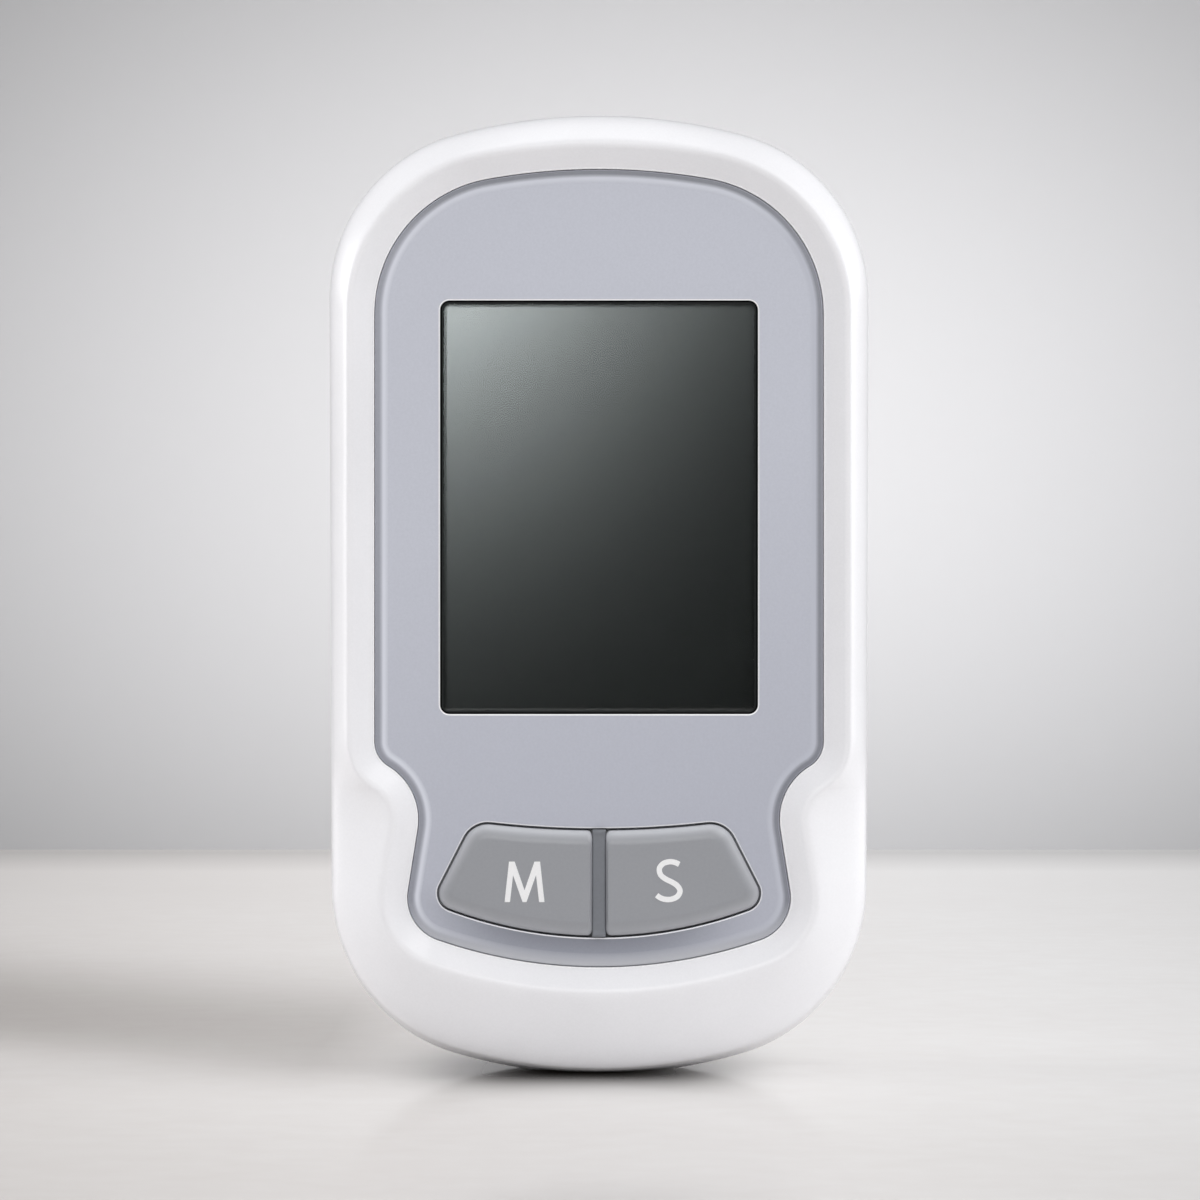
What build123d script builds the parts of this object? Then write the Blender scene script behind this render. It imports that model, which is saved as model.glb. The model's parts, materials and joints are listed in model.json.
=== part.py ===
from build123d import *
from math import cos, radians, sin, sqrt, tan
import os

# Handheld cholesterol meter: a two-part moulded case round one circuit board, a display behind a
# window, two keys side by side, a test strip port in the top end and a hinged battery door.
# Millimetres. X is the width, Z runs up the meter as it stands on its foot, and the window faces -Y.
# A depth is counted from the parting plane of the case, and grows towards the window.

# Case, as seen from the front
CASE_HEIGHT = 98.0
CASE_TOP_HALF = 27.67
CASE_LOW_HALF = 27.38
CASE_TOP_ARC = 56.3
CASE_LOW_ARC = 52.2
CASE_CORNER = 17.5
FOOT_DROP = 0.4

# Case, through its depth
BACK_DEPTH = 11.0
BACK_ROUND = 4.5
BACK_DRAFT = 0.2
SKIRT_DROP = 5.4
SKIRT_DRAFT = 0.12
SHOULDER_DROP = 3.6
SHOULDER_SIDE = 0.3
SHOULDER_TOP = 0.35
SHOULDER_LOW = 0.6
WALL = 2.0
FRONT_WALL = 1.6
ROOT_DEEP = 1.0
TONGUE_HEIGHT = 0.8
TONGUE_WIDTH = 0.8
TONGUE_GAP = 0.1

# Slope of the rim, which climbs steeply from the shoulder and levels out at the crest. Each pair is
# how much of the climb, and how much of the way inwards, has been done.
SLOPE_STEPS = ((0.4, 0.17), (0.73, 0.42), (0.92, 0.7))
RIM_PROUD = 1.3
BEVEL_WIDTH = 2.2
CREST_LAND = 0.35

# Faceplate outline: straight sides, a shoulder, a waist and a flare down to the rounded foot
RIM_SIDE = 4.92
RIM_TOP = 5.9
PLATE_TOP_ARC = 64.0
PLATE_TOP_CORNER = 13.9
SHOULDER_Z = 32.5
SHOULDER_ANGLE = 58.0
SHOULDER_ROUND = 2.9
WAIST_INSET = 5.02
WAIST_ROUND = 6.3
FLARE_ANGLE = 9.0
PLATE_LOW = 11.27
PLATE_LOW_ARC = 50.0
PLATE_LOW_CORNER = 4.56

# Faceplate
PLATE_THICK = 1.5
PLATE_GAP = 0.12
PLATE_EDGE_ROUND = 0.5
OPENING_CHAMFER = 0.12

# Window and lens
WINDOW_SIDE = 6.65
WINDOW_LOW = 36.9
WINDOW_TOP = 13.3
WINDOW_CORNER = 0.95
LENS_LAP = 1.2
LENS_THICK = 1.0
LENS_SET_BACK = 0.4
LENS_GAP = 0.1
LENS_STAND_OFF = 0.6
GASKET_WIDTH = 0.9

# Display
DISPLAY_RISE = 3.5
GLASS_THICK = 0.7
GLASS_SIDE = 1.1
GLASS_LEDGE = 2.4
GLASS_OVERLAP = 0.5
FILM_FRONT = 0.2
FILM_REAR = 0.3
FILM_GAP = 0.1
DISPLAY_GAP = 0.4
FRAME_RIM = 1.4
FRAME_GAP = 0.15
FRAME_TOP_GAP = 0.1
FRAME_BAR = 3.2
FRAME_CROSSBAR = 1.0
ZEBRA_WIDTH = 2.0
ZEBRA_END_INSET = 2.2
ZEBRA_MARGIN = 0.2
ZEBRA_SLOT_GAP = 0.1

# Keys
KEY_TOP_INSET = 4.88
KEY_TOP_MIDDLE = 25.35
KEY_TOP_HOLLOW = 0.85
KEY_SLANT = 27.1
KEY_LOW = 14.25
KEY_LOW_ARC = 43.5
KEY_TOP_CORNER = 2.8
KEY_SIDE_CORNER = 1.9
KEY_GAP = 0.2
KEY_PROUD = 0.8
KEY_EDGE_ROUND = 0.45
KEY_SPLIT = 0.65
KEY_TRAVEL = 0.8
FLANGE_REACH = 0.9
FLANGE_THICK = 0.9
FLANGE_GAP = 0.1
KEY_WELL_GAP = 0.3
WEB_HALF = 0.45
WEB_PROUD = 0.1
WEB_END_GAP = 0.35
PLUNGER_X = 7.6
PLUNGER_R = 2.5
PILL_R = 2.2
PILL_THICK = 0.3
PAD_THICK = 0.05
SKIRT_WALL = 0.8
SKIRT_CLEARANCE = 0.6
SKIRT_TOP_GAP = 0.2
MAT_THICK = 0.8
MAT_SIDE = 2.55
MAT_LOW_INSET = 0.65
MAT_HIGH_REACH = 0.25

# Circuit board, with its larger parts in the lanes beside the battery bay
BOARD_THICK = 1.2
BOARD_INSET = 3.2
BOARD_BAY_GAP = 0.6
CHIP_SIZE = 10.0
CHIP_THICK = 1.0
CHIP_STAND_OFF = 0.1
CHIP_CHAMFER = 0.2
CHIP_LEGS = 10
CHIP_PITCH = 0.8
CHIP_LEG_WIDTH = 0.35
CHIP_LEG_REACH = 1.0
CHIP_LEG_THICK = 0.2
CRYSTAL_SIZE = (4.6, 11.0, 3.5)
CRYSTAL_RIM = 0.5
CRYSTAL_Z = 63.0
BUZZER_R = 4.5
BUZZER_THICK = 3.4
BUZZER_HOLE_R = 0.8
BUZZER_HOLE_DEEP = 1.7
BUZZER_Z = 36.0
CAN_R = 2.5
CAN_HEIGHT = 5.4
CAN_PINCH = 0.3
CAN_PINCH_RISE = 1.35
CAN_Z = 42.0
SMALL_PART = (1.6, 0.8, 0.6)
SMALL_LOW = 60.0
SMALL_PITCH = 3.0
SMALL_COLUMNS = 3
SMALL_ROWS = 4

# Screws and their bosses
SCREW_R = 1.0
SCREW_FIT = 0.05
SCREW_HEAD_R = 1.8
SCREW_HEAD_THICK = 1.3
SCREW_WELL = 4.0
CASE_SCREW_SHORT = 2.0
TOP_SCREW_SIDE = 8.17
TOP_SCREW_DROP = 11.0
LOW_SCREW_SIDE = 10.38
LOW_SCREW_Z = 11.5
FRONT_BOSS_R = 2.5
REAR_BOSS_R = 3.0
HEAD_GAP = 0.3
BOSS_GAP = 0.1
BOARD_HOLE_GAP = 0.3
BOARD_SCREW_Z = 52.0
BOARD_SCREW_SHORT = 0.3
POST_R = 2.0
POST_FRAME_GAP = 0.6
RECESS_LENGTH = 2.0
RECESS_WIDTH = 0.45
RECESS_DEEP = 0.6

# Batteries, two AAA cells side by side, and their bay
CELL_R = 5.25
CELL_LENGTH = 44.5
CELL_NUB_R = 1.9
CELL_NUB = 0.8
CELL_GAP = 0.4
CELL_DOOR_GAP = 0.1
CELL_SLACK = 0.2
CELL_CHAMFER = 0.3
CONTACT_THICK = 0.4
CONTACT_SPRING = 1.2
CONTACT_GAP = 0.1
CONTACT_HALF = 3.0
TAB_HALF = 1.5
LEAF_HALF = 3.0
BAY_LOW = 21.0
BAY_WALL = 1.1
BAY_END_WALL = 1.9
BAY_FLOOR_WALL = 1.0
BAY_SIDE_GAP = 0.5

# Battery door
DOOR_THICK = 1.6
DOOR_LEDGE = 0.8
DOOR_GAP = 0.2
DOOR_SEAT_GAP = 0.1
DOOR_BELOW_BAY = 1.0
DOOR_ABOVE_BAY = 3.1
DOOR_CORNER = 2.5
BARREL_R = 1.1
BARREL_GAP = 0.15
PIN_R = 0.65
PIN_FIT = 0.07
PIN_LENGTH = 1.5
PIN_END_GAP = 0.4
EAR_WALL = 1.4
HINGE_WALL = 0.8
HINGE_COVER = 1.05
LATCH_HALF = 4.0
LATCH_THICK = 0.6
LATCH_REACH = 2.2
LATCH_GAP = 0.2
LATCH_BEAD = 0.15
LATCH_RISE = 0.25
NOTCH_HALF = 5.0
NOTCH_R = 1.8
NOTCH_OUT = 0.6
RIB_HALF = 0.4
RIB_DEEP = 2.0
RIB_LOW_INSET = 10.0
RIB_HIGH_INSET = 12.0
GRIP_HALF = 6.0
GRIP_WIDTH = 0.9
GRIP_CUT = 0.3
GRIP_PITCH = 2.0
GRIP_COUNT = 4
GRIP_LOW_INSET = 4.0

# Test strip port in the top end
STRIP_HALF = 3.6
STRIP_THICK = 1.6
STRIP_DROP = 1.5
GUIDE_WALL = 1.3
GUIDE_FACE = 0.7
GUIDE_LENGTH = 6.65
GUIDE_FLANGE = 1.4
GUIDE_FLARE = 0.4
GUIDE_GAP = 0.1
GUIDE_SET_BACK = 0.35
CONNECTOR_LENGTH = 9.9
CONNECTOR_WALL = 1.4
STRIP_CONTACT_COUNT = 3
STRIP_CONTACT_PITCH = 2.2
STRIP_CONTACT_WIDTH = 0.9
STRIP_CONTACT_THICK = 0.3

# Depths that follow, from the back of the case to its front: each piece lies on the one before
DOOR_INNER = DOOR_THICK - BACK_DEPTH
DOOR_SEAT = DOOR_INNER + DOOR_SEAT_GAP
HINGE_DEPTH = BARREL_R - BACK_DEPTH
HINGE_BLOCK_FRONT = HINGE_DEPTH + BARREL_R + BARREL_GAP + HINGE_COVER
CASE_SCREW_SEAT = SCREW_WELL - BACK_DEPTH
CELL_DEPTH = DOOR_INNER + CELL_DOOR_GAP + CELL_R
BAY_FLOOR = CELL_DEPTH + CELL_R + CELL_SLACK
BOARD_BACK = BAY_FLOOR + BAY_FLOOR_WALL + BOARD_BAY_GAP
BOARD_FRONT = BOARD_BACK + BOARD_THICK
GLASS_DEPTH = BOARD_FRONT + DISPLAY_RISE
GLASS_MIDDLE = GLASS_DEPTH - GLASS_THICK
GLASS_BACK = GLASS_MIDDLE - GLASS_THICK
FILM_BACK = GLASS_BACK - FILM_REAR
LENS_BACK = GLASS_DEPTH + LENS_STAND_OFF
LENS_FRONT = LENS_BACK + LENS_THICK
PLATE_DEPTH = LENS_FRONT + LENS_SET_BACK
PLATE_BACK = PLATE_DEPTH - PLATE_THICK
FRONT_WALL_DEPTH = PLATE_BACK - FRONT_WALL
CASE_SCREW_TIP = FRONT_WALL_DEPTH - CASE_SCREW_SHORT
BOARD_SCREW_TIP = FRONT_WALL_DEPTH - BOARD_SCREW_SHORT
FLANGE_FRONT = PLATE_BACK - FLANGE_GAP
FLANGE_BACK = FLANGE_FRONT - FLANGE_THICK
PILL_BACK = BOARD_FRONT + PAD_THICK + KEY_TRAVEL + PAD_THICK
KEY_DEPTH = PLATE_DEPTH + KEY_PROUD
CREST_DEPTH = PLATE_DEPTH + RIM_PROUD
SKIRT_DEPTH = CREST_DEPTH - SKIRT_DROP
SHOULDER_DEPTH = CREST_DEPTH - SHOULDER_DROP
STRIP_DEPTH = BOARD_BACK - STRIP_DROP
STRIP_SPAN = (STRIP_DEPTH - STRIP_THICK / 2, STRIP_DEPTH + STRIP_THICK / 2)
GUIDE_SPAN = (STRIP_SPAN[0] - GUIDE_FACE, STRIP_SPAN[1] + GUIDE_FACE)

# Widths that follow, from the outside of the case inwards
PLATE_HALF = CASE_TOP_HALF - RIM_SIDE
WAIST_X = PLATE_HALF - WAIST_INSET
WINDOW_HALF = PLATE_HALF - WINDOW_SIDE
GLASS_HALF = WINDOW_HALF + GLASS_SIDE
ZEBRA_HALF = GLASS_HALF - ZEBRA_END_INSET
KEY_TOP_HALF = WAIST_X - KEY_TOP_INSET
MAT_HALF = KEY_TOP_HALF + MAT_SIDE
CELL_X = CELL_R + CELL_GAP / 2
BAY_HALF = CELL_X + CELL_R + BAY_SIDE_GAP
BAY_OUTER = BAY_HALF + BAY_WALL
LANE_X = (BAY_OUTER + CASE_TOP_HALF - WALL) / 2
DOOR_HALF = BAY_HALF + DOOR_LEDGE
GUIDE_HALF = STRIP_HALF + GUIDE_WALL

# Heights that follow
PLATE_TOP = CASE_HEIGHT - RIM_TOP
WINDOW_HIGH = PLATE_TOP - WINDOW_TOP
WINDOW_MIDDLE = (WINDOW_LOW + WINDOW_HIGH) / 2
GLASS_LOW = WINDOW_LOW - GLASS_OVERLAP - GLASS_LEDGE
GLASS_HIGH = WINDOW_HIGH + GLASS_OVERLAP + GLASS_LEDGE
KEY_TOP_END = KEY_TOP_MIDDLE + KEY_TOP_HOLLOW
KEY_MIDDLE = (KEY_LOW + KEY_TOP_MIDDLE) / 2
MAT_LOW = KEY_LOW + MAT_LOW_INSET
MAT_HIGH = KEY_TOP_MIDDLE + MAT_HIGH_REACH
CELL_LOW = BAY_LOW + CONTACT_THICK + CONTACT_SPRING + CONTACT_GAP
CELL_HIGH = CELL_LOW + CELL_LENGTH
BAY_HIGH = CELL_HIGH + CONTACT_GAP + CONTACT_SPRING + CONTACT_THICK
DOOR_LOW = BAY_LOW - DOOR_BELOW_BAY
DOOR_HIGH = BAY_HIGH + DOOR_ABOVE_BAY
LATCH_LOW = DOOR_LOW + LATCH_RISE
GRIP_LOW = DOOR_LOW + GRIP_LOW_INSET
HINGE_Z = DOOR_HIGH - BARREL_R
GUIDE_HIGH = CASE_HEIGHT - GUIDE_SET_BACK
GUIDE_LOW = GUIDE_HIGH - GUIDE_LENGTH
CONNECTOR_HIGH = GUIDE_LOW - GUIDE_GAP
CONNECTOR_LOW = CONNECTOR_HIGH - CONNECTOR_LENGTH

# Directions of the faceplate's edge below its shoulder, and places of the screws
FLARE = (sin(radians(FLARE_ANGLE)), -cos(radians(FLARE_ANGLE)))
SLOPE = (-sin(radians(SHOULDER_ANGLE)), -cos(radians(SHOULDER_ANGLE)))
TOP_SCREW = (CASE_TOP_HALF - TOP_SCREW_SIDE, CASE_HEIGHT - TOP_SCREW_DROP)
LOW_SCREW = (CASE_LOW_HALF - LOW_SCREW_SIDE, LOW_SCREW_Z)
CASE_SCREWS = [(s * x, z) for x, z in (TOP_SCREW, LOW_SCREW) for s in (-1, 1)]
BOARD_SCREW_X = GLASS_HALF + FRAME_RIM + POST_FRAME_GAP + POST_R
BOARD_SCREWS = [(s * BOARD_SCREW_X, BOARD_SCREW_Z) for s in (-1, 1)]

# How far a cut runs past what it cuts, and how close two points count as one
OVER = 1.0
TOUCH = 1e-4


def layer(outline, back, front):
    """The solid with this outline, seen from the front, between two depths."""
    return extrude(Plane.XZ.offset(back) * outline, front - back)


def block(x_span, depth_span, z_span):
    """A box between two limits each way."""
    (x0, x1), (d0, d1), (z0, z1) = x_span, depth_span, z_span
    centre = Pos((x0 + x1) / 2, -(d0 + d1) / 2, (z0 + z1) / 2)
    return centre * Box(x1 - x0, abs(d1 - d0), z1 - z0)


def rod(place, radius, back, front):
    """A round rod that points at the viewer."""
    return layer(Pos(*place) * Circle(radius), back, front)


def crossbar(x_span, depth, z, radius):
    """A round rod along the width."""
    x0, x1 = x_span
    return Pos((x0 + x1) / 2, -depth, z) * Rot(0, 90, 0) * Cylinder(radius, x1 - x0)


def sagitta(radius, half):
    """How far an arc of this radius drops over half its chord."""
    return radius - sqrt(radius**2 - half**2)


def rounded_window(half, low, high, corner):
    return Pos(0, (low + high) / 2) * RectangleRounded(2 * half, high - low, corner)


def grown_window(grow=0):
    """The window's outline, moved outwards by grow."""
    return rounded_window(WINDOW_HALF + grow, WINDOW_LOW - grow, WINDOW_HIGH + grow, WINDOW_CORNER + grow)


def closed_outline(chain, rounds, top_z, low_z):
    """An outline that is the same left and right: the chain of right-hand corners from the top down,
    arcs across the top and the bottom, and a rounding radius for each corner, where 0 leaves it be."""
    left = [(-x, z) for x, z in reversed(chain)]
    edges = [ThreePointArc(left[-1], (0, top_z), chain[0]), ThreePointArc(chain[-1], (0, low_z), left[0])]
    for run in (chain, left):
        edges += [Line(a, b) for a, b in zip(run, run[1:])]
    face = make_face(edges)
    for (x, z), radius in zip(chain, rounds):
        if radius:
            corner = [v for v in face.vertices() if abs(abs(v.X) - x) < TOUCH and abs(v.Y - z) < TOUCH]
            face = fillet(corner, radius)
    return face


def case_outline(side=0, top=0, low=0, stations=()):
    """The silhouette of the case, drawn in at its sides, top and bottom."""
    top_z, low_z = CASE_HEIGHT - top, low - FOOT_DROP
    half_top, half_low = CASE_TOP_HALF - side, CASE_LOW_HALF - side
    first = (half_top, top_z - sagitta(CASE_TOP_ARC - top, half_top))
    last = (half_low, low_z + sagitta(CASE_LOW_ARC - low, half_low))
    lean = (half_top - half_low) / (first[1] - last[1])
    between = [(half_low + lean * (z - last[1]), z) for z in stations]
    rounds = [CASE_CORNER - side] + [0] * len(between) + [CASE_CORNER - side]
    return closed_outline([first, *between, last], rounds, top_z, low_z)


def grown_corner(corner, arriving, leaving, grow):
    """Where the corner of two lines goes when both move outwards, for lines that run down the right."""
    n = (Vector(-arriving[1], arriving[0]), Vector(-leaving[1], leaving[0]))
    moved = Vector(*corner) + (n[0] + n[1]) * (grow / (1 + n[0].dot(n[1])))
    return (moved.X, moved.Y)


def meet_arc(start, way, centre_z, radius):
    """Where a line from start meets an arc whose centre is on the middle line."""
    ahead = start[0] * way[0] + (start[1] - centre_z) * way[1]
    far = start[0] ** 2 + (start[1] - centre_z) ** 2 - radius**2
    run = sqrt(ahead**2 - far) - ahead
    return (start[0] + way[0] * run, start[1] + way[1] * run)


def plate_chain(grow=0):
    """Right-hand corners and roundings of the faceplate outline, moved outwards by grow."""
    top_centre = PLATE_TOP - PLATE_TOP_ARC
    low_centre = PLATE_LOW + PLATE_LOW_ARC
    shoulder = (PLATE_HALF, SHOULDER_Z)
    run = (PLATE_HALF - WAIST_X) / -SLOPE[0]
    waist = (WAIST_X, SHOULDER_Z + SLOPE[1] * run)
    half = PLATE_HALF + grow
    top = (half, top_centre + sqrt((PLATE_TOP_ARC + grow) ** 2 - half**2))
    shoulder_out = grown_corner(shoulder, (0, -1), SLOPE, grow)
    waist_out = grown_corner(waist, SLOPE, FLARE, grow)
    foot = meet_arc(waist_out, FLARE, low_centre, PLATE_LOW_ARC + grow)
    rounds = [PLATE_TOP_CORNER + grow, SHOULDER_ROUND + grow, WAIST_ROUND - grow, PLATE_LOW_CORNER + grow]
    return [top, shoulder_out, waist_out, foot], rounds


def plate_outline(grow=0):
    chain, rounds = plate_chain(grow)
    return closed_outline(chain, rounds, PLATE_TOP + grow, PLATE_LOW - grow)


def waist_heights(grow):
    """Heights where the shoulder's and the waist's roundings begin and end."""
    (_, shoulder, waist, _), (_, shoulder_round, waist_round, _) = plate_chain(grow)
    reach = shoulder_round * tan(radians(SHOULDER_ANGLE / 2))
    dip = waist_round * tan(radians((SHOULDER_ANGLE + FLARE_ANGLE) / 2))
    return [
        shoulder[1] + reach,
        shoulder[1] + SLOPE[1] * reach,
        waist[1] - SLOPE[1] * dip,
        waist[1] + FLARE[1] * dip,
    ]


def key_outline(grow=0):
    """Both keys together: a slightly hollow top, slanted ends and a bowed foot."""
    slant = (sin(radians(KEY_SLANT)), -cos(radians(KEY_SLANT)))
    foot = meet_arc((KEY_TOP_HALF, KEY_TOP_END), slant, KEY_LOW + KEY_LOW_ARC, KEY_LOW_ARC)
    chain = [(KEY_TOP_HALF, KEY_TOP_END), foot]
    face = closed_outline(chain, [KEY_TOP_CORNER, KEY_SIDE_CORNER], KEY_TOP_MIDDLE, KEY_LOW)
    return offset(face, grow) if grow else face


def bevel_cutter():
    """The space over the faceplate, which widens from its edge to the crest of the rim."""
    low = Plane.XZ.offset(PLATE_DEPTH) * plate_outline()
    high = Plane.XZ.offset(CREST_DEPTH) * plate_outline(BEVEL_WIDTH)
    return loft([low, high], ruled=True)


def right_edges(outline):
    """Start, middle and end of each edge on the right of an outline, from the top down."""
    edges = [e for e in outline.edges() if (e @ 0.5).X > TOUCH]
    edges.sort(key=lambda e: -(e @ 0.5).Y)
    return [sorted((e @ 0, e @ 0.5, e @ 1), key=lambda p: -p.Y) for e in edges]


def edge_through(start, middle, end):
    """An arc through three points, or a line where they lie on one."""
    bow = (middle - start).cross(end - start).length
    return ThreePointArc(start, middle, end) if bow > TOUCH else Line(start, end)


def slope_outline(brink, crest, share, top_z, low_z):
    """Outline of the rim's slope, this share of the way from its brink to its crest."""
    pairs = zip(right_edges(brink), right_edges(crest))
    right = [[a + (b - a) * share for a, b in zip(low, high)] for low, high in pairs]
    left = [[Vector(-p.X, p.Y) for p in reversed(points)] for points in reversed(right)]
    edges = [ThreePointArc(left[-1][-1], (0, top_z), right[0][0])]
    edges += [ThreePointArc(right[-1][-1], (0, low_z), left[0][0])]
    edges += [edge_through(*points) for points in right + left]
    return make_face(edges)


def case_front_body():
    """The outside of the front half: a drafted skirt, a rounded shoulder and a slope that climbs from
    the shoulder to the crest, which follows the faceplate down through its waist."""
    shoulder = (SHOULDER_SIDE, SHOULDER_TOP, SHOULDER_LOW)
    skirt = loft(
        [
            Plane.XZ * case_outline(),
            Plane.XZ.offset(SKIRT_DEPTH) * case_outline(*[SKIRT_DRAFT] * 3),
            Plane.XZ.offset(SHOULDER_DEPTH) * case_outline(*shoulder),
        ],
        ruled=True,
    )
    grow = BEVEL_WIDTH + CREST_LAND
    brink, crest = case_outline(*shoulder, waist_heights(grow)), plate_outline(grow)
    sections = []
    for climb, share in ((0, 0), *SLOPE_STEPS, (1, 1)):
        top_z = CASE_HEIGHT - SHOULDER_TOP + (PLATE_TOP + grow - CASE_HEIGHT + SHOULDER_TOP) * share
        low_z = SHOULDER_LOW - FOOT_DROP + (PLATE_LOW - grow - SHOULDER_LOW + FOOT_DROP) * share
        outline = slope_outline(brink, crest, share, top_z, low_z)
        sections.append(Plane.XZ.offset(SHOULDER_DEPTH + SHOULDER_DROP * climb) * outline)
    return skirt + loft(sections, ruled=True)


def front_shell():
    """Front half of the case with its rim, the recess of the faceplate and the inside bosses."""
    shell = case_front_body() - bevel_cutter()
    shell -= layer(plate_outline(), PLATE_BACK, PLATE_DEPTH)
    shell -= layer(case_outline(*[WALL] * 3), 0, FRONT_WALL_DEPTH)
    rebate = WALL - TONGUE_WIDTH - TONGUE_GAP
    shell -= layer(case_outline(*[rebate] * 3), 0, TONGUE_HEIGHT + TONGUE_GAP)
    opening = rounded_window(
        GLASS_HALF + DISPLAY_GAP, GLASS_LOW - DISPLAY_GAP, GLASS_HIGH + DISPLAY_GAP, WINDOW_CORNER
    )
    shell -= layer(opening, FRONT_WALL_DEPTH, PLATE_BACK)
    shell -= layer(key_outline(FLANGE_REACH + KEY_WELL_GAP), FRONT_WALL_DEPTH, PLATE_BACK)
    for place in CASE_SCREWS:
        shell += rod(place, FRONT_BOSS_R, BOSS_GAP, FRONT_WALL_DEPTH)
        shell -= rod(place, SCREW_R + SCREW_FIT, BOSS_GAP, CASE_SCREW_TIP + HEAD_GAP)
    for place in BOARD_SCREWS:
        shell += rod(place, POST_R, BOARD_FRONT, FRONT_WALL_DEPTH)
        shell -= rod(place, SCREW_R + SCREW_FIT, BOARD_FRONT, BOARD_SCREW_TIP + BOSS_GAP)
    return shell - port_opening() - foot_cut()


def foot_cut():
    """What lies under the flat that the meter stands on."""
    reach = CASE_LOW_HALF + OVER
    return block((-reach, reach), (-reach, reach), (-FOOT_DROP - OVER, 0))


def port_opening():
    """The way through the top end for the guide of the test strip."""
    half = GUIDE_HALF + GUIDE_GAP
    return block((-half, half), (GUIDE_SPAN[0], GUIDE_SPAN[1] + GUIDE_GAP), (GUIDE_LOW, CASE_HEIGHT + OVER))


def rear_shell():
    """Rear half of the case with the battery bay, the door's hinge sockets and the screw wells."""
    sections = [Plane.XZ.offset(-BACK_DEPTH) * case_outline(*[BACK_DRAFT] * 3), Plane.XZ * case_outline()]
    shell = loft(sections, ruled=True)
    back = shell.faces().sort_by(Axis.Y)[-1]
    shell = fillet(back.outer_wire().edges(), BACK_ROUND)
    cavity = layer(case_outline(*[WALL] * 3), WALL - BACK_DEPTH, 0)
    cavity = fillet(cavity.faces().sort_by(Axis.Y)[-1].outer_wire().edges(), BACK_ROUND - WALL)
    shell -= cavity
    tongue = layer(case_outline(*[WALL - TONGUE_WIDTH] * 3), -OVER, TONGUE_HEIGHT)
    tongue -= layer(case_outline(*[WALL] * 3), -OVER, TONGUE_HEIGHT)
    shell += tongue
    shell -= port_opening()
    root = WALL - BACK_DEPTH - ROOT_DEEP
    bay_z = (BAY_LOW - BAY_END_WALL, BAY_HIGH + BAY_WALL)
    shell += block((-BAY_OUTER, BAY_OUTER), (root, BAY_FLOOR + BAY_FLOOR_WALL), bay_z)
    socket = DOOR_HALF + PIN_LENGTH + PIN_END_GAP
    ear = socket + EAR_WALL
    above = DOOR_HIGH + DOOR_GAP + HINGE_WALL
    shell += block((-ear, ear), (root, HINGE_BLOCK_FRONT), (BAY_HIGH, above))
    for place in CASE_SCREWS:
        shell += rod(place, REAR_BOSS_R, root, 0)
    shell -= block((-BAY_HALF, BAY_HALF), (-BACK_DEPTH, BAY_FLOOR), (BAY_LOW, BAY_HIGH))
    shell -= layer(door_outline(DOOR_GAP), -BACK_DEPTH, DOOR_SEAT)
    hinge = DOOR_HALF + DOOR_GAP
    shell -= crossbar((-hinge, hinge), HINGE_DEPTH, HINGE_Z, BARREL_R + BARREL_GAP)
    shell -= crossbar((-socket, socket), HINGE_DEPTH, HINGE_Z, PIN_R + PIN_FIT)
    latch = LATCH_HALF + LATCH_GAP
    latch_front = DOOR_SEAT + LATCH_REACH + LATCH_GAP
    shell -= block((-latch, latch), (DOOR_INNER, latch_front), (LATCH_LOW - LATCH_GAP, BAY_LOW))
    notch_z = DOOR_LOW - DOOR_GAP
    shell -= crossbar((-NOTCH_HALF, NOTCH_HALF), -BACK_DEPTH - NOTCH_OUT, notch_z, NOTCH_R)
    for x in (-CELL_X, CELL_X):
        slit = TAB_HALF + CONTACT_GAP
        slit_z = (BAY_HIGH - CONTACT_THICK - CONTACT_GAP, BAY_HIGH)
        shell -= block((x - slit, x + slit), (0, BAY_FLOOR + BAY_FLOOR_WALL + OVER), slit_z)
    for place in CASE_SCREWS:
        shell -= rod(place, SCREW_HEAD_R + HEAD_GAP, -BACK_DEPTH, CASE_SCREW_SEAT)
        shell -= rod(place, SCREW_R + BOSS_GAP, CASE_SCREW_SEAT, 0)
    return shell - foot_cut()


def door_outline(grow=0):
    """Door or door opening, square at the hinge and rounded at the latch."""
    half = DOOR_HALF + grow
    low, high = DOOR_LOW - grow, DOOR_HIGH + grow
    plate = Pos(0, (low + high) / 2) * Rectangle(2 * half, high - low)
    return fillet(plate.vertices().group_by(Axis.Y)[0], DOOR_CORNER + grow)


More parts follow.
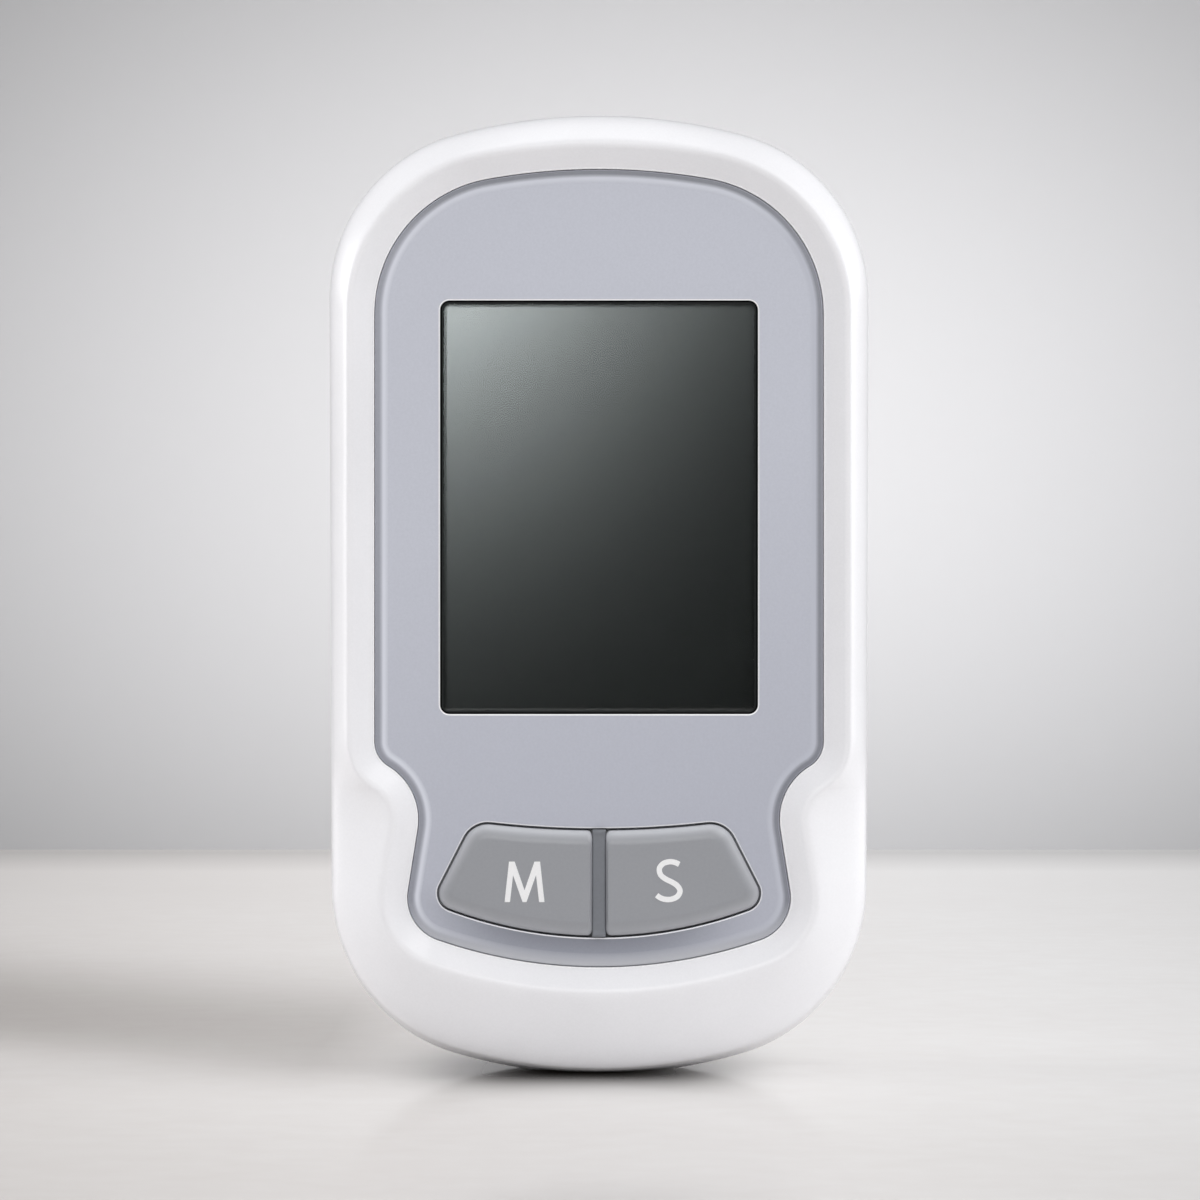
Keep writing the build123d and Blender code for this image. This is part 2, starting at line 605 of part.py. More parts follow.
def battery_door():
    """Door with its hinge barrel and pins at the top, and the latch tongue and grip lines below."""
    door = layer(door_outline(), -BACK_DEPTH, DOOR_INNER)
    above = 2 * BARREL_R
    door -= block((-DOOR_HALF, DOOR_HALF), (-BACK_DEPTH, DOOR_INNER), (HINGE_Z, HINGE_Z + above))
    door += crossbar((-DOOR_HALF, DOOR_HALF), HINGE_DEPTH, HINGE_Z, BARREL_R)
    pin = DOOR_HALF + PIN_LENGTH
    door += crossbar((-pin, pin), HINGE_DEPTH, HINGE_Z, PIN_R)
    latch_span = (DOOR_INNER, DOOR_SEAT + LATCH_REACH)
    door += block((-LATCH_HALF, LATCH_HALF), latch_span, (LATCH_LOW, LATCH_LOW + LATCH_THICK))
    bead = LATCH_HALF - LATCH_BEAD
    door += crossbar((-bead, bead), DOOR_SEAT + LATCH_REACH / 2, LATCH_LOW, LATCH_BEAD)
    rib_z = (DOOR_LOW + RIB_LOW_INSET, DOOR_HIGH - RIB_HIGH_INSET)
    door += block((-RIB_HALF, RIB_HALF), (DOOR_INNER, DOOR_INNER + RIB_DEEP), rib_z)
    for i in range(GRIP_COUNT):
        z = GRIP_LOW + i * GRIP_PITCH
        slot = Pos(0, z) * SlotOverall(2 * GRIP_HALF, GRIP_WIDTH)
        door -= layer(slot, -BACK_DEPTH, -BACK_DEPTH + GRIP_CUT)
    return door


def faceplate():
    """Plate in the rim's recess, with the window and the opening of the keys."""
    plate = layer(plate_outline(-PLATE_GAP), PLATE_BACK, PLATE_DEPTH)
    front = plate.faces().sort_by(Axis.Y)[0]
    plate = fillet(front.outer_wire().edges(), PLATE_EDGE_ROUND)
    plate -= layer(grown_window(), LENS_FRONT, PLATE_DEPTH)
    plate -= layer(grown_window(LENS_LAP + LENS_GAP), PLATE_BACK, LENS_FRONT)
    plate -= layer(key_outline(), PLATE_BACK, PLATE_DEPTH)
    front = plate.faces().sort_by(Axis.Y)[0]
    return chamfer([e for wire in front.inner_wires() for e in wire.edges()], OPENING_CHAMFER)


def window_lens():
    return layer(grown_window(LENS_LAP), LENS_BACK, LENS_FRONT)


def lens_gasket():
    """Foam frame that keeps dust out between the display and the lens."""
    return layer(grown_window(FILM_GAP + GASKET_WIDTH) - grown_window(FILM_GAP), GLASS_DEPTH, LENS_BACK)


def display_sheet(half, lap, back, front):
    return block((-half, half), (back, front), (WINDOW_LOW - lap, WINDOW_HIGH + lap))


def lcd_front_polariser():
    return layer(grown_window(), GLASS_DEPTH, GLASS_DEPTH + FILM_FRONT)


def lcd_front_glass():
    return display_sheet(GLASS_HALF, GLASS_OVERLAP + GLASS_LEDGE, GLASS_MIDDLE, GLASS_DEPTH)


def lcd_rear_glass():
    return display_sheet(GLASS_HALF, GLASS_OVERLAP, GLASS_BACK, GLASS_MIDDLE)


def lcd_reflector():
    return display_sheet(GLASS_HALF - FRAME_GAP, GLASS_OVERLAP, FILM_BACK, GLASS_BACK)


def zebra_spans():
    """Lowest and highest point of the two contact strips under the ledges of the front glass."""
    low = GLASS_LOW + ZEBRA_MARGIN
    high = GLASS_HIGH - ZEBRA_MARGIN
    return [(low, low + ZEBRA_WIDTH), (high - ZEBRA_WIDTH, high)]


def zebra_connectors():
    strips = [block((-ZEBRA_HALF, ZEBRA_HALF), (BOARD_FRONT, GLASS_MIDDLE), z) for z in zebra_spans()]
    return Compound(children=strips)


def lcd_frame():
    """Frame that carries the glass on its ledge and stands on the board."""
    half = GLASS_HALF + FRAME_RIM
    front = FRONT_WALL_DEPTH - FRAME_TOP_GAP
    frame = block((-half, half), (BOARD_FRONT, front), (GLASS_LOW - FRAME_RIM, GLASS_HIGH + FRAME_RIM))
    seat = GLASS_HALF + FRAME_GAP
    frame -= block((-seat, seat), (FILM_BACK, front), (GLASS_LOW - FRAME_GAP, GLASS_HIGH + FRAME_GAP))
    inner = GLASS_HALF - FRAME_BAR
    span = (WINDOW_LOW + FRAME_CROSSBAR, WINDOW_HIGH - FRAME_CROSSBAR)
    frame -= block((-inner, inner), (BOARD_FRONT, FILM_BACK), span)
    slot = ZEBRA_HALF + FRAME_GAP
    for low, high in zebra_spans():
        slot_z = (low - ZEBRA_SLOT_GAP, high + ZEBRA_SLOT_GAP)
        frame -= block((-slot, slot), (BOARD_FRONT, FILM_BACK), slot_z)
    return frame


def key_side(side):
    """Everything right of the groove between the keys, or left of it where side is -1."""
    span = sorted((side * KEY_SPLIT, side * CASE_TOP_HALF))
    return block(span, (0, CREST_DEPTH), (0, CASE_HEIGHT))


def key(side):
    """Key cap with the flange that keeps it behind the faceplate."""
    cap = layer(key_outline(-KEY_GAP), FLANGE_BACK, KEY_DEPTH) & key_side(side)
    front = cap.faces().sort_by(Axis.Y)[0]
    cap = fillet(front.outer_wire().edges(), KEY_EDGE_ROUND)
    flange = layer(key_outline(FLANGE_REACH), FLANGE_BACK, FLANGE_FRONT) & key_side(side)
    return cap + flange


def key_plunger(side):
    """Rubber post behind a key, which carries the contact pill."""
    return rod((side * PLUNGER_X, KEY_MIDDLE), PLUNGER_R, PILL_BACK + PILL_THICK, FLANGE_BACK)


def key_pill(side):
    return rod((side * PLUNGER_X, KEY_MIDDLE), PILL_R, PILL_BACK, PILL_BACK + PILL_THICK)


def keypad_mat():
    """Rubber mat on the board with a collar round each plunger and the web between the keys."""
    front = BOARD_FRONT + MAT_THICK
    mat = block((-MAT_HALF, MAT_HALF), (BOARD_FRONT, front), (MAT_LOW, MAT_HIGH))
    hole = PLUNGER_R + SKIRT_CLEARANCE
    for side in (-1, 1):
        place = (side * PLUNGER_X, KEY_MIDDLE)
        mat += rod(place, hole + SKIRT_WALL, front, FLANGE_BACK - KEY_TRAVEL - SKIRT_TOP_GAP)
        mat -= rod(place, hole, BOARD_FRONT, FLANGE_BACK)
    web_z = (KEY_LOW + WEB_END_GAP, KEY_TOP_MIDDLE - WEB_END_GAP)
    return mat + block((-WEB_HALF, WEB_HALF), (front, PLATE_DEPTH + WEB_PROUD), web_z)


def key_contact_pads():
    front = BOARD_FRONT + PAD_THICK
    pads = [rod((side * PLUNGER_X, KEY_MIDDLE), PLUNGER_R, BOARD_FRONT, front) for side in (-1, 1)]
    return Compound(children=pads)


def main_board():
    """Circuit board, which the front half's bosses pass through."""
    board = layer(case_outline(*[BOARD_INSET] * 3), BOARD_BACK, BOARD_FRONT)
    for place in CASE_SCREWS:
        board -= rod(place, FRONT_BOSS_R + BOARD_HOLE_GAP, BOARD_BACK, BOARD_FRONT)
    for place in BOARD_SCREWS:
        board -= rod(place, SCREW_R + BOSS_GAP, BOARD_BACK, BOARD_FRONT)
    return board


def controller_chip():
    """Flat package under the display, with its row of legs on each side."""
    half = CHIP_SIZE / 2
    front = BOARD_FRONT + CHIP_STAND_OFF + CHIP_THICK
    z_span = (WINDOW_MIDDLE - half, WINDOW_MIDDLE + half)
    body = block((-half, half), (BOARD_FRONT + CHIP_STAND_OFF, front), z_span)
    body = chamfer(body.edges().group_by(Axis.Y)[0], CHIP_CHAMFER)
    leg_front = BOARD_FRONT + CHIP_STAND_OFF + CHIP_LEG_THICK
    first = -(CHIP_LEGS - 1) / 2 * CHIP_PITCH
    for i in range(CHIP_LEGS):
        along = WINDOW_MIDDLE + first + i * CHIP_PITCH
        for side in (-1, 1):
            span = sorted((side * half, side * (half + CHIP_LEG_REACH)))
            across = (along - CHIP_LEG_WIDTH / 2, along + CHIP_LEG_WIDTH / 2)
            body += block(span, (BOARD_FRONT, leg_front), across)
    return body


def crystal():
    """Quartz can, rounded at both ends, on the back of the board."""
    width, length, deep = CRYSTAL_SIZE
    place = Pos(-LANE_X, CRYSTAL_Z)
    can = layer(place * SlotOverall(length, width, rotation=90), BOARD_BACK - deep, BOARD_BACK)
    base = place * SlotOverall(length + CRYSTAL_RIM, width + CRYSTAL_RIM, rotation=90)
    return can + layer(base, BOARD_BACK - CRYSTAL_RIM, BOARD_BACK)


def buzzer():
    """Sounder with the hole that its tone comes out of."""
    place = (LANE_X, BUZZER_Z)
    face = BOARD_BACK - BUZZER_THICK
    body = rod(place, BUZZER_R, face, BOARD_BACK)
    return body - rod(place, BUZZER_HOLE_R, face, face + BUZZER_HOLE_DEEP)


def reservoir_capacitor():
    """Upright can with the pinched ring near its base."""
    place = (-LANE_X, CAN_Z)
    can = rod(place, CAN_R, BOARD_BACK - CAN_HEIGHT, BOARD_BACK)
    ring = Circle(CAN_R + OVER) - Circle(CAN_R - CAN_PINCH)
    depth = BOARD_BACK - CAN_PINCH_RISE
    return can - layer(Pos(*place) * ring, depth - CAN_PINCH, depth + CAN_PINCH)


def board_parts():
    """Rows of small chip resistors and capacitors on the back of the board."""
    length, width, deep = SMALL_PART
    first = LANE_X - (SMALL_COLUMNS - 1) / 2 * SMALL_PITCH - length / 2
    parts = []
    for i in range(SMALL_COLUMNS):
        for j in range(SMALL_ROWS):
            x = first + i * SMALL_PITCH
            z = SMALL_LOW + j * SMALL_PITCH
            parts.append(block((x, x + length), (BOARD_BACK - deep, BOARD_BACK), (z, z + width)))
    return Compound(children=parts)


def screw(place, seat, tip):
    """Pan head screw whose head and cross recess look to the rear."""
    head_end = seat - SCREW_HEAD_THICK
    head = rod(place, SCREW_HEAD_R, head_end, seat)
    for turn in (0, 90):
        blade = Pos(*place) * Rot(0, 0, turn) * Rectangle(RECESS_LENGTH, RECESS_WIDTH)
        head -= layer(blade, head_end, head_end + RECESS_DEEP)
    return head + rod(place, SCREW_R, seat, tip)


def case_screws():
    screws = [screw(place, CASE_SCREW_SEAT, CASE_SCREW_TIP) for place in CASE_SCREWS]
    return Compound(children=screws)


def board_screws():
    screws = [screw(place, BOARD_BACK, BOARD_SCREW_TIP) for place in BOARD_SCREWS]
    return Compound(children=screws)


def leaf(x, base_z, tip_z):
    """Bowed contact spring that reaches from a plate to the end of a cell."""
    middle = -CELL_DEPTH
    rise = 1 if tip_z > base_z else -1
    inner_tip = tip_z - rise * CONTACT_THICK
    outer = ThreePointArc((middle - LEAF_HALF, base_z), (middle, tip_z), (middle + LEAF_HALF, base_z))
    short = LEAF_HALF - CONTACT_THICK
    inner = ThreePointArc((middle - short, base_z), (middle, inner_tip), (middle + short, base_z))
    ends = [Line(outer @ 0, inner @ 0), Line(outer @ 1, inner @ 1)]
    profile = Plane.YZ.offset(x - TAB_HALF) * make_face([outer, inner, *ends])
    return extrude(profile, 2 * TAB_HALF, dir=(1, 0, 0))


def battery_link_plate():
    """Plate at the foot of the bay that joins the two cells in series."""
    half = CELL_X + CONTACT_HALF
    depth = (CELL_DEPTH - LEAF_HALF, CELL_DEPTH + LEAF_HALF)
    plate = block((-half, half), depth, (BAY_LOW, BAY_LOW + CONTACT_THICK))
    for x in (-CELL_X, CELL_X):
        plate += leaf(x, BAY_LOW + CONTACT_THICK, CELL_LOW - CONTACT_GAP)
    return plate


def battery_terminal(side):
    """Plate at the head of a cell, with a leaf spring and a tab that goes through the bay's floor."""
    x = side * CELL_X
    z = (BAY_HIGH - CONTACT_THICK, BAY_HIGH)
    plate = block((x - CONTACT_HALF, x + CONTACT_HALF), (CELL_DEPTH - LEAF_HALF, CELL_DEPTH + LEAF_HALF), z)
    plate += block((x - TAB_HALF, x + TAB_HALF), (CELL_DEPTH, BOARD_BACK), z)
    return plate + leaf(x, BAY_HIGH - CONTACT_THICK, CELL_HIGH + CONTACT_GAP)


def battery(side):
    """AAA cell. The left one has its nub at the top, the right one at the foot."""
    body_low = CELL_LOW + (CELL_NUB if side > 0 else 0)
    body_high = body_low + CELL_LENGTH - CELL_NUB
    place = (side * CELL_X, -CELL_DEPTH)
    low = (Align.CENTER, Align.CENTER, Align.MIN)
    body = Pos(*place, body_low) * Cylinder(CELL_R, CELL_LENGTH - CELL_NUB, align=low)
    body = chamfer(body.edges().group_by(Axis.Z)[0] + body.edges().group_by(Axis.Z)[-1], CELL_CHAMFER)
    nub_z = CELL_LOW if side > 0 else body_high
    return body + Pos(*place, nub_z) * Cylinder(CELL_NUB_R, CELL_NUB, align=low)


def strip_port_guide():
    """Insert in the top wall that leads the test strip in, with a flange that keeps it there."""
    guide = block((-GUIDE_HALF, GUIDE_HALF), GUIDE_SPAN, (GUIDE_LOW, GUIDE_HIGH))
    flange = GUIDE_HALF + GUIDE_FLANGE
    guide += block((-flange, flange), GUIDE_SPAN, (GUIDE_LOW, GUIDE_LOW + GUIDE_FLANGE))
    guide -= block((-STRIP_HALF, STRIP_HALF), STRIP_SPAN, (GUIDE_LOW, GUIDE_HIGH))
    mouth = guide.faces().sort_by(Axis.Z)[-1].inner_wires()[0]
    return chamfer(mouth.edges(), GUIDE_FLARE)


def strip_connector():
    """Socket on the board that takes the end of the test strip."""
    half = STRIP_HALF + CONNECTOR_WALL
    back = STRIP_SPAN[0]
    body = block((-half, half), (back - CONNECTOR_WALL, BOARD_BACK), (CONNECTOR_LOW, CONNECTOR_HIGH))
    body -= block((-STRIP_HALF, STRIP_HALF), STRIP_SPAN, (CONNECTOR_LOW + CONNECTOR_WALL, CONNECTOR_HIGH))
    gap = STRIP_CONTACT_WIDTH / 2 + CONTACT_GAP
    for x in strip_contact_places():
        depth = (back, back + STRIP_CONTACT_THICK + CONTACT_GAP)
        body -= block((x - gap, x + gap), depth, (CONNECTOR_LOW, CONNECTOR_LOW + CONNECTOR_WALL))
    return body


def strip_contact_places():
    first = -(STRIP_CONTACT_COUNT - 1) / 2 * STRIP_CONTACT_PITCH
    return [first + i * STRIP_CONTACT_PITCH for i in range(STRIP_CONTACT_COUNT)]


def strip_contacts():
    """Gold leaves along one wall of the socket, each with a tail soldered to the board."""
    back = STRIP_SPAN[0]
    half = STRIP_CONTACT_WIDTH / 2
    tail = CONNECTOR_LOW - STRIP_CONTACT_THICK
    contacts = []
    for x in strip_contact_places():
        span = (x - half, x + half)
        blade = block(span, (back, back + STRIP_CONTACT_THICK), (tail, GUIDE_LOW - CONNECTOR_WALL))
        contacts.append(blade + block(span, (back, BOARD_BACK), (tail, CONNECTOR_LOW)))
    return Compound(children=contacts)


NODES = {
    "front_shell": front_shell,
    "rear_shell": rear_shell,
    "faceplate": faceplate,
    "window_lens": window_lens,
    "lens_gasket": lens_gasket,
    "lcd_front_polariser": lcd_front_polariser,
    "lcd_front_glass": lcd_front_glass,
    "lcd_rear_glass": lcd_rear_glass,
    "lcd_reflector": lcd_reflector,
    "lcd_frame": lcd_frame,
    "zebra_connectors": zebra_connectors,
    "memory_key": lambda: key(-1),
    "set_key": lambda: key(1),
    "memory_key_plunger": lambda: key_plunger(-1),
    "set_key_plunger": lambda: key_plunger(1),
    "memory_key_pill": lambda: key_pill(-1),
    "set_key_pill": lambda: key_pill(1),
    "keypad_mat": keypad_mat,
    "key_contact_pads": key_contact_pads,
    "main_board": main_board,
    "controller_chip": controller_chip,
    "crystal": crystal,
    "buzzer": buzzer,
    "reservoir_capacitor": reservoir_capacitor,
    "board_parts": board_parts,
    "case_screws": case_screws,
    "board_screws": board_screws,
    "battery_left": lambda: battery(-1),
    "battery_right": lambda: battery(1),
    "battery_link_plate": battery_link_plate,
    "battery_terminal_left": lambda: battery_terminal(-1),
    "battery_terminal_right": lambda: battery_terminal(1),
    "battery_door": battery_door,
    "strip_port_guide": strip_port_guide,
    "strip_connector": strip_connector,
    "strip_contacts": strip_contacts,
}

os.makedirs("parts", exist_ok=True)
for name, make in NODES.items():
    export_step(make(), f"parts/{name}.step")
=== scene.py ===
import json
from math import atan2, cos, dist, pi, radians, sin, sqrt, tan

import bmesh
import bpy
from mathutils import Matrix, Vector

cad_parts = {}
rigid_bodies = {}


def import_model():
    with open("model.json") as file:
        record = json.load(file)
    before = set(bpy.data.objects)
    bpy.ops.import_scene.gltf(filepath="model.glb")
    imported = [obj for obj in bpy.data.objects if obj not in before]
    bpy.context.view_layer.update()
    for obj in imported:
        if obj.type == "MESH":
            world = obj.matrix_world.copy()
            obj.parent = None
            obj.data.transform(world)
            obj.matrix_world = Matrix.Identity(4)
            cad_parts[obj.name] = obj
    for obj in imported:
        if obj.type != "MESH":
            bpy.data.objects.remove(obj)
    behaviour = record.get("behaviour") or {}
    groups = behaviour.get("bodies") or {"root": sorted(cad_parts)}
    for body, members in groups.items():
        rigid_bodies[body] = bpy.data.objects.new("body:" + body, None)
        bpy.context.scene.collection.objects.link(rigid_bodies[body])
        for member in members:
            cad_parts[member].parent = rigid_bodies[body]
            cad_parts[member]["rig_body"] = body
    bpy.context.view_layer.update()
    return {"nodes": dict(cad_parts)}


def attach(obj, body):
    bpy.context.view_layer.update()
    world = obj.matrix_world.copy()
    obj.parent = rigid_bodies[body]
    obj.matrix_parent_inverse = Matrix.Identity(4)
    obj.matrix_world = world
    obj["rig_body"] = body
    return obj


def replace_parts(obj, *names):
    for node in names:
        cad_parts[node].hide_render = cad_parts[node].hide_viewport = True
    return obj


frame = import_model()

# Looks of a handheld cholesterol meter. Sizes are millimetres and are turned to metres where a mesh is
# made. X is the width, Z runs up the meter, and a depth grows from the parting plane to the viewer.
MM = 0.001

# Smooth shading breaks at edges sharper than these angles, in degrees
SOFT_ANGLE = 28.0
COPY_ANGLE = 32.0
FLAT_PIECE_ANGLE = 35.0
WEB_ANGLE = 40.0
KEY_ANGLE = 50.0
ROUND_ANGLE = 60.0

# How near points are to be one, in pieces made here and in copies of CAD nodes, and how flat, in degrees,
# two of a copy's triangles lie to be joined
SAME_POINT = 1e-4
MERGE_REACH = 0.002
FLAT_ANGLE = 0.1

# Case screws: where they stand, their sizes and sides, how far the shank reaches into the head, and the
# seed of the turn each is left at
SCREW_PLACES = ((-19.5, 87.0), (19.5, 87.0), (-17.0, 11.5), (17.0, 11.5))
SCREW_SEAT = -7.0
SCREW_SIZES = {
    "Head Radius": 1.8,
    "Head Height": 1.0,
    "Crown": 0.3,
    "Shank Radius": 1.0,
    "Shank Length": 11.6,
    "Recess Length": 2.0,
    "Recess Width": 0.45,
    "Recess Depth": 0.6,
}
HEAD_SIDES = 48
HEAD_RINGS = 8
SHANK_SIDES = 32
SHANK_LAP = 0.1
SCREW_SEED = 4

# Opening for the test strip in the top wall: half width, depths and heights
PORT_HALF = 5.0
PORT_DEPTHS = (-1.0, 3.1)
PORT_HEIGHTS = (91.0, 99.0)

# Camera, square in front of the meter and level with its middle, and how far it sees, in metres
CAMERA_X = 0.1
CAMERA_DISTANCE = 520.0
CAMERA_Z = 48.46
CAMERA_LENS = 151.2
SENSOR = 36.0
CAMERA_REACH = 20.0

# Floor and backdrop. The cove between them is too small to see.
FLOOR_HALF = 1500.0
FLOOR_NEAR = -900.0
BACKDROP_Y = 458.0
BACKDROP_HEIGHT = 1200.0
COVE = 0.05
COVE_STEPS = 10

# Light from all round, and the tone that the camera sees beyond the stage
SKY_STRENGTH = 0.38
SKY_TONE = "#f6f6f8"
BEYOND_TONE = "#dddcde"

# Lamps: name, place, diameter and power in watts, all pointing at the middle of the meter
LAMP_TARGET = (0.0, 0.0, 50.0)
LAMPS = (
    ("key_light", (620.0, -760.0, 900.0), 520.0, 3.33),
    ("left_light", (-1150.0, 90.0, 330.0), 500.0, 6.55),
    ("right_light", (1150.0, 90.0, 330.0), 500.0, 5.93),
    ("top_light", (0.0, -100.0, 1250.0), 700.0, 3.12),
    ("front_light", (-60.0, -1580.0, 520.0), 700.0, 6.55),
)

# Backdrop: its paint, where it is brightest, and how far its light reaches
BACKDROP_PAINT = "#f1f1f3"
GLOW_X = 12.7
GLOW_Z = 79.0
GLOW_REACH_X = 200.6
GLOW_REACH_Z = 141.0

# Painted pool of light on the stone: where it is brightest, how far that reaches, and its least share of
# light
STONE_BRIGHT_X = 15.0
STONE_REACH_X = 260.0
STONE_LEAST = 0.78

# Stone's patterns: how far apart clouds and flecks lie, their darkest tones, and the mean of each
CLOUD_SIZE = 45.0
FLECK_SIZE = 5.0
CLOUD_TONE = "#f6f4f3"
FLECK_TONE = "#f7f5f4"
PATTERN_MEAN = 0.5

# Where the stone's tones change: its warm left, where the patterns end, the painted shade of its near
# side, and the painted shade at its far edge
WARM_SPAN = (-70.0, 60.0)
WARM_TONE = "#fffcfa"
PLAIN_SPAN = (200.0, 420.0)
NEAR_SPAN = (-110.0, 30.0)
NEAR_TONE = "#ecebea"
FAR_SPAN = (380.0, 446.0)
FAR_TONE = "#d7d7d7"

# Painted shadow behind the meter, running off to the left: its middle and slant, how far it reaches to
# each side and how abruptly it ends there, where it starts, and its tone
SHADOW_BAND_Y = 13.5
SHADOW_BAND_SLANT = 0.9
SHADOW_BAND_FRONT = (52.0, 3.0)
SHADOW_BAND_BACK = (80.0, 2.2)
SHADOW_BAND_SPAN = (-12.0, -30.0)
SHADOW_BAND_TONE = "#c3c0bd"

# Shade where the meter stands: its middle, its reach across, to the front and to the back, where the two
# falls begin, the share of it that bounced light meets, and its tone
FOOT_SHADE_X = -2.0
FOOT_SHADE_REACH = 16.0
FOOT_SHADE_SQUARENESS = 4.0
FOOT_SHADE_START = 3.0
FOOT_SHADE_FRONT = (16.0, 2.0)
FOOT_SHADE_BACK = (30.0, 2.0)
FOOT_SHADE_BOUNCE = 0.4
FOOT_SHADE_TONE = "#100d0b"

# Stone's gloss and how much of it the foot's shade takes, its polish, and how much of its tone the camera
# sees without the lamps' fall
STONE_GLOSS = 0.5
FOOT_GLOSS_LOSS = 0.45
STONE_POLISH = 0.7
STONE_LIFT = 0.38

# Card behind the camera, which only shows in glossy surfaces. Its light fades from the upper left: it
# falls with the distance in steps from there, and faster further out.
CARD_Y = -1600.0
CARD_HALF = 88.0
CARD_LOW = -22.0
CARD_HIGH = 197.0
CARD_TONE = "#eef6f6"
CARD_STRENGTH = 2.75
CARD_BRIGHT_Z = 156.9
CARD_STEP_X = 53.2
CARD_STEP_Z = 70.9
CARD_FALL_X = (0.96, 0.21)
CARD_FALL_Z = (1.03, 0.23)

# Black flag behind the card, which keeps the sky out of the window
FLAG_Y = -1610.0
FLAG_HALF = 650.0
FLAG_NAP = 5.0

# Power that gives a bell its plain fall. A higher one makes it squarer.
PLAIN_FALL = 2.0

# Case, as in the solids
CASE_HEIGHT = 98.0
CASE_TOP_HALF = 27.67
CASE_LOW_HALF = 27.38
CASE_TOP_ARC = 56.3
CASE_LOW_ARC = 52.2
CASE_CORNER = 17.5
FOOT_DROP = 0.4
CREST_DEPTH = 11.0
PLATE_DEPTH = 9.7
POCKET_DEPTH = 8.2
FRONT_WALL_DEPTH = 6.6
WALL = 2.0
REBATE = 1.1
REBATE_DEPTH = 0.9
BEVEL_WIDTH = 2.2
CREST_LAND = 0.35

# Skirt and shoulder of the front half: depth, then how far sides, top and foot are drawn in
SKIRT = (
    (0.0, 0.12, 0.12, 0.12),
    (0.15, 0.0, 0.0, 0.0),
    (2.9, 0.06, 0.06, 0.4),
    (5.6, 0.12, 0.12, 0.8),
    (6.6, 0.2, 0.22, 0.95),
    (7.4, 0.3, 0.35, 1.2),
)

# Slope from the crest to the skirt: its rings, the share of it that is straight, how abruptly it turns
# into the skirt, and how softly it leaves the crest
SLOPE_RINGS = 22
SLOPE_STRAIGHT = 0.74
SLOPE_TURN = 6.0
CREST_SOFT = 0.5

# Radii that the crest and the bevel's lower edge are rolled to
CREST_ROLL = 1.0
EDGE_ROLL = 0.22
ROLL_STEPS = 4

# Faceplate outline
PLATE_HALF = 22.75
PLATE_TOP = 92.1
PLATE_TOP_ARC = 64.0
PLATE_TOP_CORNER = 13.9
SHOULDER_Z = 32.5
SHOULDER_ANGLE = 58.0
SHOULDER_ROUND = 2.9
WAIST_X = 17.73
WAIST_ROUND = 6.3
FLARE_ANGLE = 9.0
PLATE_LOW = 11.27
PLATE_LOW_ARC = 50.0
PLATE_LOW_CORNER = 4.56
POCKET_LEDGE = 2.0

# Points along each stretch of half an outline, from the middle of the top to the middle of the foot
STRETCHES = {
    "top": 16,
    "top_corner": 26,
    "side": 12,
    "shoulder": 12,
    "run": 4,
    "waist": 14,
    "flare": 8,
    "low_corner": 20,
    "foot": 14,
}

# Band where the faceplate's edge falls away: how far out from the outline and how deep each ring lies
PLATE_EDGE = (
    (-0.07, 8.5),
    (-0.07, 9.6),
    (-0.13, 9.66),
    (-0.3, 9.675),
    (-0.5, 9.69),
    (-0.65, 9.71),
    (-0.8, 9.72),
    (-0.95, 9.725),
    (-1.15, 9.715),
    (-1.35, 9.705),
    (-1.5, 9.69),
    (-1.5, 8.5),
)

# Line of painted highlight on the rim beside the gap, given in the same way
RIM_EDGE = ((0.0, 9.4), (0.0, 9.76), (0.05, 9.82), (0.16, 9.84), (0.16, 9.4))

# The band's tones, by how far in from the outline they lie: where the line beside the gap ends, where
# the band of painted shade ends, the lip of painted highlight, and the lip at the foot
LINE_FADE = (0.08, 0.2)
BAND_FADE = (0.48, 0.86)
LIP_MIDDLE = 1.0
LIP_REACH = 0.3
FOOT_LIP = (1.5, 0.35)

# Window
WINDOW_HALF = 16.1
WINDOW_LOW = 36.9
WINDOW_HIGH = 78.8
WINDOW_CORNER = 0.95
LEAST_CORNER = 0.3
CORNER_STEPS = 8
LENS_BACK = 8.3
LENS_FRONT = 9.3
LENS_LAP = 1.2
LENS_FALL = 0.0065
LENS_FALL_SPAN = (0.3, 0.9)
LENS_STEPS = 5
BORDER_WIDTH = 0.34
BORDER_RISE = 0.03
GAP_WIDTH = 0.17
EDGE_WIDTH = 0.13
EDGE_RISE = 0.012
EDGE_DROP = 3 * EDGE_WIDTH

# Keys
KEY_TOP_HALF = 12.85
KEY_TOP_MIDDLE = 25.35
KEY_TOP_HOLLOW = 0.85
KEY_SLANT = 27.1
KEY_LOW = 14.25
KEY_LOW_ARC = 43.5
KEY_TOP_CORNER = 2.8
KEY_SIDE_CORNER = 1.9
KEY_GAP = 0.24
KEY_SPLIT = 0.68
KEY_DEPTH = 10.5
KEY_BACK = 8.0
KEY_FALL = 0.7
KEY_FALL_WIDTH = 1.5
KEY_SPLIT_FALL_WIDTH = 0.3
KEY_SPLIT_CORNER = 0.55
MIDDLE_CORNER = 0.01
FLANGE_REACH = 0.9
FLANGE_BACK = 7.2
FLANGE_FRONT = 8.1
KEY_STEPS = 9
KEY_STRETCHES = (6, 14, 12, 8, 14, 20, 6, 12)

# Web between the keys, and its raised ends: how far from the end, and the share of the rise there
WEB_HALF = 0.672
WEB_DEPTH = 10.0
WEB_EDGE = 0.1
WEB_END_RISE = 0.22
WEB_END = ((0.0, 0.5), (0.12, 0.9), (0.3, 1.0), (0.5, 0.6), (0.75, 0.0))

